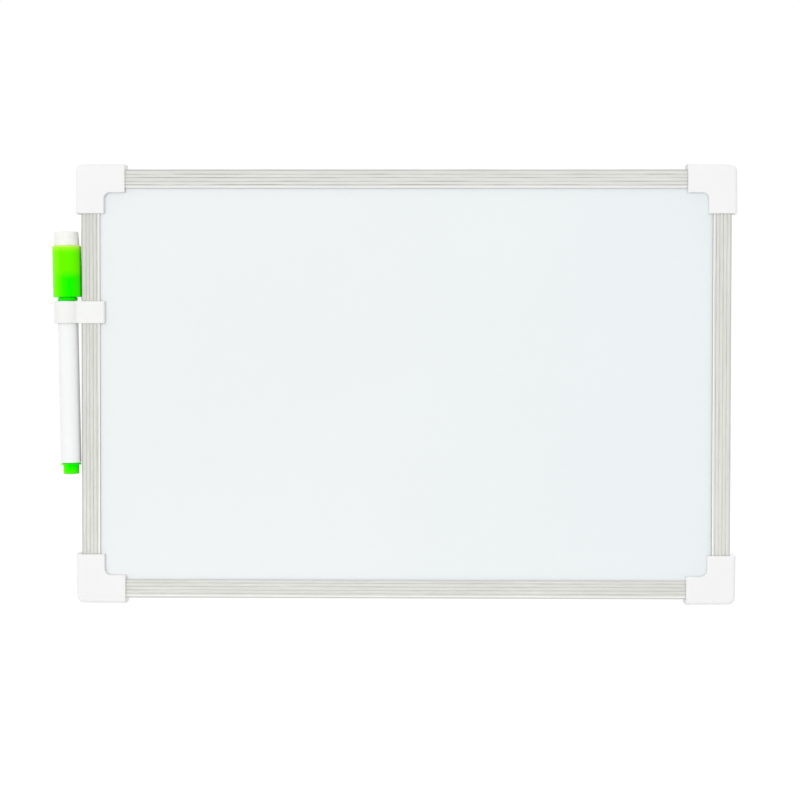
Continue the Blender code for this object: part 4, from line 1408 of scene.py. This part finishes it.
def green_plastic(name, upper, lower, change_low, change_high, middle_x, lit_side_share, paling=0.0):
    """Green that changes from lower to upper between two heights, and is painted a lit yellower
    green towards the left.

    With paling, the painted deeper green is deepest along a line right of the axis, and is painted
    paler beside it.
    """
    finish, shader = new_finish(name, tone(*upper), GREEN_ROUGHNESS, specular=0.12)
    shader.inputs["Specular Tint"].default_value = GREEN_GLINT
    place = place_from(finish)
    tree = finish.node_tree
    axes = axes_of(tree, place)
    cloud = grain(finish, place, scale=200.0, detail=2.0)
    height = maths(tree, "MULTIPLY_ADD", cloud, (change_high - change_low) * CLOUD_SHARE, axes["Z"])
    change = spread(finish, height, 0.0, 1.0, change_low, change_high)
    distance = maths(tree, "ABSOLUTE", maths(tree, "SUBTRACT", axes["X"], middle_x + DEEP_LINE))
    paled = spread(finish, distance, 0.0, paling, 0.0, CAP_RADIUS)
    change = maths(tree, "MAXIMUM", change, paled)
    colour = blended(finish, change, tone(*lower), tone(*upper))
    side = maths(tree, "MULTIPLY", toward_left(finish, axes, middle_x, CAP_RADIUS), lit_side_share)
    colour = blended(finish, side, colour, tone(*LIT_SIDE_GREEN))
    wire(finish, colour, shader, "Base Color")
    skin = grain(finish, place, scale=3000.0, detail=2.0)
    roughened(finish, shader, skin, GREEN_ROUGHNESS - GREEN_ROUGHNESS_SWING,
              GREEN_ROUGHNESS + GREEN_ROUGHNESS_SWING)
    bumped(finish, shader, skin, depth=0.003 * MM)
    return finish, shader


def lit_shoulder(finish, shader, top):
    """Paints a highlight: the green pales towards the height top over its last few millimetres, to
    near white at the rim.
    """
    colour = shader.inputs["Base Color"].links[0].from_socket
    height = axes_of(finish.node_tree, place_from(finish))["Z"]
    rise = spread(finish, height, 0.0, 1.0, top - SHOULDER_FADE, top)
    colour = blended(finish, overlap(finish, rise, rise), colour, tone(*SHOULDER_HIGHLIGHT_GREEN))
    rim = spread(finish, height, 0.0, RIM_HIGHLIGHT_SHARE, top - RIM_FADE, top)
    wire(finish, blended(finish, rim, colour, tone(*RIM_HIGHLIGHT_GREEN)), shader, "Base Color")


print("green plastic ready")

# %% Section and nib
FLANGE_THICKNESS = 1.4 * MM
FLANGE_EASE = 0.2 * MM
SECTION_SPIGOT = 7.2 * MM
SECTION_NOSE_RADIUS = 2.5 * MM
SECTION_NOSE = 3.5 * MM
SECTION_STUB_RADIUS = 4.0 * MM
STUB_EASE = 0.3 * MM
NIB_TIP_STEPS = 10
SECTION_GREEN = (12, 253, 2)
FLANGE_TOP = SECTION_LOW + SECTION_SPIGOT + FLANGE_THICKNESS
STUB_TOP = SECTION_HIGH - SECTION_NOSE
NIB_BORE = NIB_RADIUS + FIT_GAP
SPIGOT_RADIUS = BARREL_BORE - FIT_GAP


def add_section():
    flange_bottom = SECTION_LOW + SECTION_SPIGOT
    level = SEAT.translation.z + flange_bottom
    finish = green_plastic("section_green", SECTION_GREEN, SECTION_GREEN, level,
                           level + FLANGE_THICKNESS, SEAT.translation.x, lit_side_share=0.1)[0]
    profile = eased([
        (NIB_BORE, SECTION_LOW, 0),
        (SPIGOT_RADIUS, SECTION_LOW, FLANGE_EASE),
        (SPIGOT_RADIUS, flange_bottom, 0),
        (FLANGE_RADIUS, flange_bottom, FLANGE_EASE),
        (FLANGE_RADIUS, FLANGE_TOP, FLANGE_EASE),
        (SECTION_STUB_RADIUS, FLANGE_TOP, 0),
        (SECTION_STUB_RADIUS, STUB_TOP, STUB_EASE),
        (SECTION_NOSE_RADIUS, SECTION_HIGH, FLANGE_EASE),
        (NIB_BORE, SECTION_HIGH, 0),
    ])
    add_turned("section_moulding", profile, finish, "marker_section", "marker")


def soaked_fibre(name, colour, darker, scale, depth):
    """Bonded fibre run lengthwise and wet with ink."""
    finish, shader = new_finish(name, tone(*colour), roughness=0.85, specular=0.3)
    fibres = grain(finish, place_from(finish), scale, stretch=(1.0, 1.0, 0.08), detail=4.0)
    mottled(finish, shader, spread(finish, fibres, 0, 1), darker, colour)
    bumped(finish, shader, fibres, depth)
    return finish


def add_nib():
    finish = soaked_fibre("nib_fibre", (24, 118, 40), (12, 84, 26), scale=6000.0, depth=0.02 * MM)
    foot = eased([(0, NIB_LOW, 0), (NIB_RADIUS, NIB_LOW, BARREL_EASE), (NIB_RADIUS, NIB_HIGH, 0)])
    tip = arc((0, NIB_HIGH - NIB_RADIUS), NIB_RADIUS, 0, 90, NIB_TIP_STEPS)
    profile = foot[:-1] + tip[:-1] + [(0, NIB_HIGH)]
    add_turned("nib_bullet", profile, finish, "marker_nib", "marker")


add_section()
add_nib()
dress("ink_reservoir", soaked_fibre("reservoir_fibre", (70, 150, 78), (46, 118, 54),
                                    scale=3500.0, depth=0.04 * MM))
print("section flange radius", round(FLANGE_RADIUS / MM, 2), "mm")

# %% [markdown]
# ## The end plug
#
# The plug at the foot of the barrel has a thin lip and a shorter grip with fine upright flutes.
# Flutes round a plug repeat, so Geometry Nodes makes them: each point of the grip moves in by a
# wave of its angle, and the wave fades out at the grip's two ends.

# %% Flute tree
def flute_tree():
    """Moves the grip's points inwards by a wave of their angle, between its foot and its top."""
    tree, given, result = new_tree("plug_flutes", [
        ("Flutes", "Int"), ("Depth", "Float"), ("Foot", "Float"), ("Top", "Float"),
        ("Fade", "Float"), ("Least Radius", "Float"), ("Finish", "Material"),
    ])
    axes = axes_of(tree, tree.nodes.new("GeometryNodeInputPosition").outputs[0])
    angle = maths(tree, "ARCTAN2", axes["Y"], axes["X"])
    wave = maths(tree, "COSINE", maths(tree, "MULTIPLY", angle, given["Flutes"]))
    inward = add_step(tree, "ShaderNodeMapRange", {"Value": wave}, From_Min=-1.0)
    flat = add_step(tree, "ShaderNodeCombineXYZ", {"X": axes["X"], "Y": axes["Y"]})
    size = add_step(tree, "ShaderNodeVectorMath", {0: flat.outputs[0]}, operation="LENGTH")
    outside = add_step(tree, "FunctionNodeCompare", {
        0: size.outputs["Value"], 1: given["Least Radius"],
    }, data_type="FLOAT", operation="GREATER_THAN")
    rise = maths(tree, "SUBTRACT", axes["Z"], given["Foot"])
    fall = maths(tree, "SUBTRACT", given["Top"], axes["Z"])
    share = maths(tree, "DIVIDE", maths(tree, "MINIMUM", rise, fall), given["Fade"])
    share.node.use_clamp = True
    amount = maths(tree, "MULTIPLY", inward.outputs["Result"], share)
    depth = maths(tree, "MULTIPLY", amount, given["Depth"])
    out = add_step(tree, "ShaderNodeVectorMath", {0: flat.outputs[0]}, operation="NORMALIZE")
    move = add_step(tree, "ShaderNodeVectorMath", {
        0: out.outputs[0], "Scale": maths(tree, "MULTIPLY", depth, -1.0),
    }, operation="SCALE")
    fluted = add_step(tree, "GeometryNodeSetPosition", {
        "Geometry": given["Geometry"], "Selection": outside.outputs[0], "Offset": move.outputs[0],
    })
    return end_tree(tree, fluted.outputs["Geometry"], given, result)


print("flute tree ready")

# %% End plug
PLUG_LIP_THICKNESS = 0.7 * MM
PLUG_GRIP_RADIUS = 3.6 * MM
PLUG_SPIGOT = 5.0 * MM
PLUG_WALL = 0.9 * MM
PLUG_EASE = 0.2 * MM
PLUG_FOOT_RADIUS = 0.6 * MM
FLUTE_COUNT = 24
FLUTE_DEPTH = 0.10 * MM
FLUTE_FADE = 0.35 * MM
PLUG_ROWS = 6
PLUG_STEPS = 288
PLUG_TOP_GREEN = (10, 250, 2)
PLUG_FOOT_GREEN = (86, 250, 0)


def add_plug():
    lip_top = PLUG_HIGH - PLUG_SPIGOT
    lip_bottom = lip_top - PLUG_LIP_THICKNESS
    foot_place = SEAT @ Vector((0, 0, PLUG_LOW))
    finish = green_plastic("plug_green", PLUG_TOP_GREEN, PLUG_FOOT_GREEN, foot_place.z,
                           SEAT.translation.z + lip_bottom, foot_place.x, lit_side_share=0.8)[0]
    inside = SPIGOT_RADIUS - PLUG_WALL
    corners = [
        (0, PLUG_LOW, 0),
        (PLUG_GRIP_RADIUS, PLUG_LOW, PLUG_FOOT_RADIUS),
    ]
    foot = PLUG_LOW + PLUG_FOOT_RADIUS
    for k in range(1, PLUG_ROWS):
        corners.append((PLUG_GRIP_RADIUS, foot + (lip_bottom - foot) * k / PLUG_ROWS, 0))
    corners += [
        (PLUG_GRIP_RADIUS, lip_bottom, 0),
        (PLUG_LIP_RADIUS, lip_bottom, PLUG_EASE),
        (PLUG_LIP_RADIUS, lip_top, PLUG_EASE),
        (SPIGOT_RADIUS, lip_top, 0),
        (SPIGOT_RADIUS, PLUG_HIGH, PLUG_EASE),
        (inside, PLUG_HIGH, 0),
        (inside, PLUG_LOW + PLUG_WALL, 0),
        (0, PLUG_LOW + PLUG_WALL, 0),
    ]
    plug = add_piece("plug_moulding", turned("plug", eased(corners), PLUG_STEPS), finish)
    run_tree(plug, flute_tree(), {
        "Flutes": FLUTE_COUNT, "Depth": FLUTE_DEPTH, "Foot": PLUG_LOW, "Top": lip_bottom,
        "Fade": FLUTE_FADE, "Least Radius": PLUG_GRIP_RADIUS - PLUG_FOOT_RADIUS, "Finish": finish,
    })
    plug.data.transform(SEAT)
    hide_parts("marker_end_plug")
    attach(plug, "marker")
    print("plug has", FLUTE_COUNT, "flutes")


add_plug()

# %% [markdown]
# ## The cap and its liner
#
# The cap is a straight tube closed at the top, with a short post for the eraser. A milky liner
# inside seals the nib. It shows only when the marker is pulled out.

# %% Cap and liner
CAP_WALL = 1.15 * MM
CAP_TOP_WALL = 1.2 * MM
CAP_SHOULDER = 0.5 * MM
CAP_MOUTH_EASE = 0.25 * MM
CAP_POST_RADIUS = 2.0 * MM
LINER_WALL = 0.6 * MM
LINER_END_WALL = 0.8 * MM
CHANGE_BELOW = 1.0 * MM
CHANGE_ABOVE = 3.0 * MM
# Painted light: the upper green stands for the cap lit through its wall, and the lower one for the
# shade of the section inside.
CAP_UPPER_GREEN = (102, 251, 0)
CAP_LOWER_GREEN = (8, 250, 0)
CAP_TOP = FELT_LOW - FIT_GAP
CAP_BORE = CAP_RADIUS - CAP_WALL


def add_cap():
    stub_level = SEAT.translation.z + STUB_TOP
    shoulder_place = SEAT @ Vector((0, 0, CAP_TOP))
    finish, shader = green_plastic("cap_green", CAP_UPPER_GREEN, CAP_LOWER_GREEN,
                                   stub_level - CHANGE_BELOW, stub_level + CHANGE_ABOVE,
                                   shoulder_place.x, lit_side_share=0.7, paling=0.4)
    lit_shoulder(finish, shader, shoulder_place.z)
    profile = eased([
        (0, CAP_TOP - CAP_TOP_WALL, 0),
        (CAP_BORE, CAP_TOP - CAP_TOP_WALL, CAP_MOUTH_EASE),
        (CAP_BORE, CAP_MOUTH, CAP_MOUTH_EASE),
        (CAP_RADIUS, CAP_MOUTH, CAP_MOUTH_EASE),
        (CAP_RADIUS, CAP_TOP, CAP_SHOULDER),
        (CAP_POST_RADIUS, CAP_TOP, CAP_MOUTH_EASE),
        (CAP_POST_RADIUS, CAP_POST_TOP, CAP_MOUTH_EASE),
        (0, CAP_POST_TOP, 0),
    ])
    add_turned("cap_moulding", profile, finish, "marker_cap", "cap")


def add_liner():
    finish = moulded_white("liner_milky", (228, 232, 224), roughness=0.35, grain_depth=0.003 * MM)
    inner = SECTION_STUB_RADIUS + FIT_GAP
    narrow = SECTION_NOSE_RADIUS + FIT_GAP
    step = STUB_TOP + FIT_GAP
    waist = step + SECTION_NOSE
    profile = [
        (0, LINER_HIGH),
        (narrow + LINER_WALL, LINER_HIGH),
        (narrow + LINER_WALL, waist),
        (LINER_RADIUS, step),
        (LINER_RADIUS, LINER_LOW),
        (inner, LINER_LOW),
        (inner, step),
        (narrow, waist),
        (narrow, LINER_HIGH - LINER_END_WALL),
        (0, LINER_HIGH - LINER_END_WALL),
    ]
    add_turned("liner_moulding", profile, finish, "cap_inner_liner", "cap")


add_cap()
add_liner()
print("cap", round((CAP_TOP - CAP_MOUTH) / MM, 1), "mm tall")

# %% [markdown]
# ## The felt eraser
#
# The eraser is a plug of pressed felt pushed over the cap's post. Felt has no clean edges: its
# faces swell and dip by a tenth of a millimetre, and loose fibres stand off it. The body is a
# turned shape whose points are moved by smooth noise. Geometry Nodes then scatters short leaning
# fibres over it, with a fixed seed, each only a few faces.

# %% Felt body
FELT_TOP_RADIUS = 5.42 * MM
FELT_EASE = 0.5 * MM
FELT_HOLE_EASE = 0.2 * MM
FELT_SWELL = 0.07 * MM
FELT_LUMP = 1.3 * MM
FELT_ROWS = 10
FELT_BASE_SPACE = 0.05 * MM
FELT_SETTLE = 0.22 * MM
FELT_SUM_LOW = 0.75
FELT_SUM_HIGH = 1.25


def felt_finish():
    finish, shader = new_finish("white_felt", tone(238, 238, 233), roughness=0.95, specular=0.15)
    place = place_from(finish)
    tangle = grain(finish, place, scale=3800.0, detail=6.0)
    clumps = grain(finish, place, scale=700.0, detail=3.0)
    both = maths(finish.node_tree, "ADD", tangle, clumps)
    field = spread(finish, both, 0.0, 1.0, FELT_SUM_LOW, FELT_SUM_HIGH)
    mottled(finish, shader, field, (240, 240, 234), (249, 249, 244))
    bumped(finish, shader, tangle, depth=0.05 * MM)
    shader.inputs["Sheen Weight"].default_value = 0.9
    shader.inputs["Sheen Roughness"].default_value = 0.5
    return finish


def felt_body():
    """A skin turned round the post's hole, with all but the hole moved by smooth noise."""
    hole = CAP_POST_RADIUS + FIT_GAP
    hole_top = CAP_POST_TOP + FIT_GAP
    corners = [
        (0, hole_top, 0),
        (hole, hole_top, FELT_HOLE_EASE),
        (hole, FELT_LOW - FELT_SETTLE, FELT_HOLE_EASE),
        (FELT_RADIUS - FELT_SWELL, FELT_LOW - FELT_SETTLE, FELT_HOLE_EASE),
    ]
    for k in range(1, FELT_ROWS):
        share = k / FELT_ROWS
        radius = FELT_RADIUS - FELT_SWELL + (FELT_TOP_RADIUS - FELT_RADIUS) * share
        corners.append((radius, FELT_LOW + (FELT_HIGH - FELT_EASE - FELT_LOW) * share, 0))
    corners.append((FELT_TOP_RADIUS, FELT_HIGH - FELT_SWELL, FELT_EASE))
    for k in range(1, FELT_ROWS):
        corners.append((FELT_TOP_RADIUS * (1 - k / FELT_ROWS), FELT_HIGH - FELT_SWELL, 0))
    corners.append((0, FELT_HIGH - FELT_SWELL, 0))
    mesh = turned("felt", eased(corners))
    for vert in mesh.vertices:
        beside = math.hypot(vert.co.x, vert.co.y) > hole + FELT_SWELL
        if beside or vert.co.z > hole_top + FELT_SWELL:
            vert.co += vert.normal * FELT_SWELL * noise.noise(vert.co / FELT_LUMP)
    return mesh


print("felt", round((FELT_HIGH - FELT_LOW) / MM, 1), "mm tall")

# %% Fibre tree
FIBRES_PER_AREA = 9.0 / MM ** 2
FIBRE_LENGTH = 0.42 * MM
FIBRE_RADIUS = 0.018 * MM
FIBRE_TIP_RADIUS = 0.006 * MM
FIBRE_LEAN = math.radians(75)
FIBRE_SEED = 7
FIBRE_SIDES = 4
FIBRE_SHORTEST = 0.5
FIBRE_LONGEST = 1.1


def fibre_tree():
    """Plants a thin cone on each of many scattered points, leaning and sized at random."""
    tree, given, result = new_tree("felt_fibres", [
        ("Density", "Float"), ("Seed", "Int"), ("Length", "Float"), ("Radius", "Float"),
        ("Lean", "Float"), ("Base Height", "Float"), ("Finish", "Material"),
    ])
    height = axes_of(tree, tree.nodes.new("GeometryNodeInputPosition").outputs[0])["Z"]
    above = add_step(tree, "FunctionNodeCompare", {
        0: height, 1: given["Base Height"],
    }, data_type="FLOAT", operation="GREATER_THAN")
    spots = add_step(tree, "GeometryNodeDistributePointsOnFaces", {
        "Mesh": given["Geometry"], "Selection": above.outputs[0],
        "Density": given["Density"], "Seed": given["Seed"],
    })
    strand = add_step(tree, "GeometryNodeMeshCone", {
        "Radius Bottom": given["Radius"], "Depth": given["Length"],
    }, Vertices=FIBRE_SIDES, Side_Segments=2, Radius_Top=FIBRE_TIP_RADIUS)
    tilt = add_step(tree, "FunctionNodeRandomValue", {"Seed": given["Seed"]},
                    data_type="FLOAT_VECTOR", Min=(-1, -1, -1), Max=(1, 1, 1))
    leaned = add_step(tree, "ShaderNodeVectorMath", {
        0: tilt.outputs["Value"], "Scale": given["Lean"],
    }, operation="SCALE")
    lean = add_step(tree, "FunctionNodeEulerToRotation", {"Euler": leaned.outputs[0]})
    stance = add_step(tree, "FunctionNodeRotateRotation", {
        "Rotation": spots.outputs["Rotation"], "Rotate By": lean.outputs[0],
    }, rotation_space="LOCAL")
    size = add_step(tree, "FunctionNodeRandomValue", {"Seed": given["Seed"]}, data_type="FLOAT")
    size.inputs[2].default_value = FIBRE_SHORTEST
    size.inputs[3].default_value = FIBRE_LONGEST
    planted = add_step(tree, "GeometryNodeInstanceOnPoints", {
        "Points": spots.outputs["Points"], "Instance": strand.outputs["Mesh"],
        "Rotation": stance.outputs[0], "Scale": size.outputs[1],
    })
    both = joined(tree, planted.outputs["Instances"], given["Geometry"])
    return end_tree(tree, both, given, result)


print("fibre tree ready")

# %% Eraser
def add_eraser():
    finish = felt_finish()
    eraser = add_piece("felt_eraser", felt_body(), finish)
    run_tree(eraser, fibre_tree(), {
        "Density": FIBRES_PER_AREA, "Seed": FIBRE_SEED, "Length": FIBRE_LENGTH,
        "Radius": FIBRE_RADIUS, "Lean": FIBRE_LEAN, "Base Height": FELT_LOW + FELT_BASE_SPACE,
        "Finish": finish,
    })
    while len(eraser.data.materials) > 1:
        eraser.data.materials.pop()
    eraser.data.transform(SEAT)
    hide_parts("cap_eraser")
    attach(eraser, "cap")
    print("felt eraser has", len(eraser.data.polygons), "faces")


add_eraser()
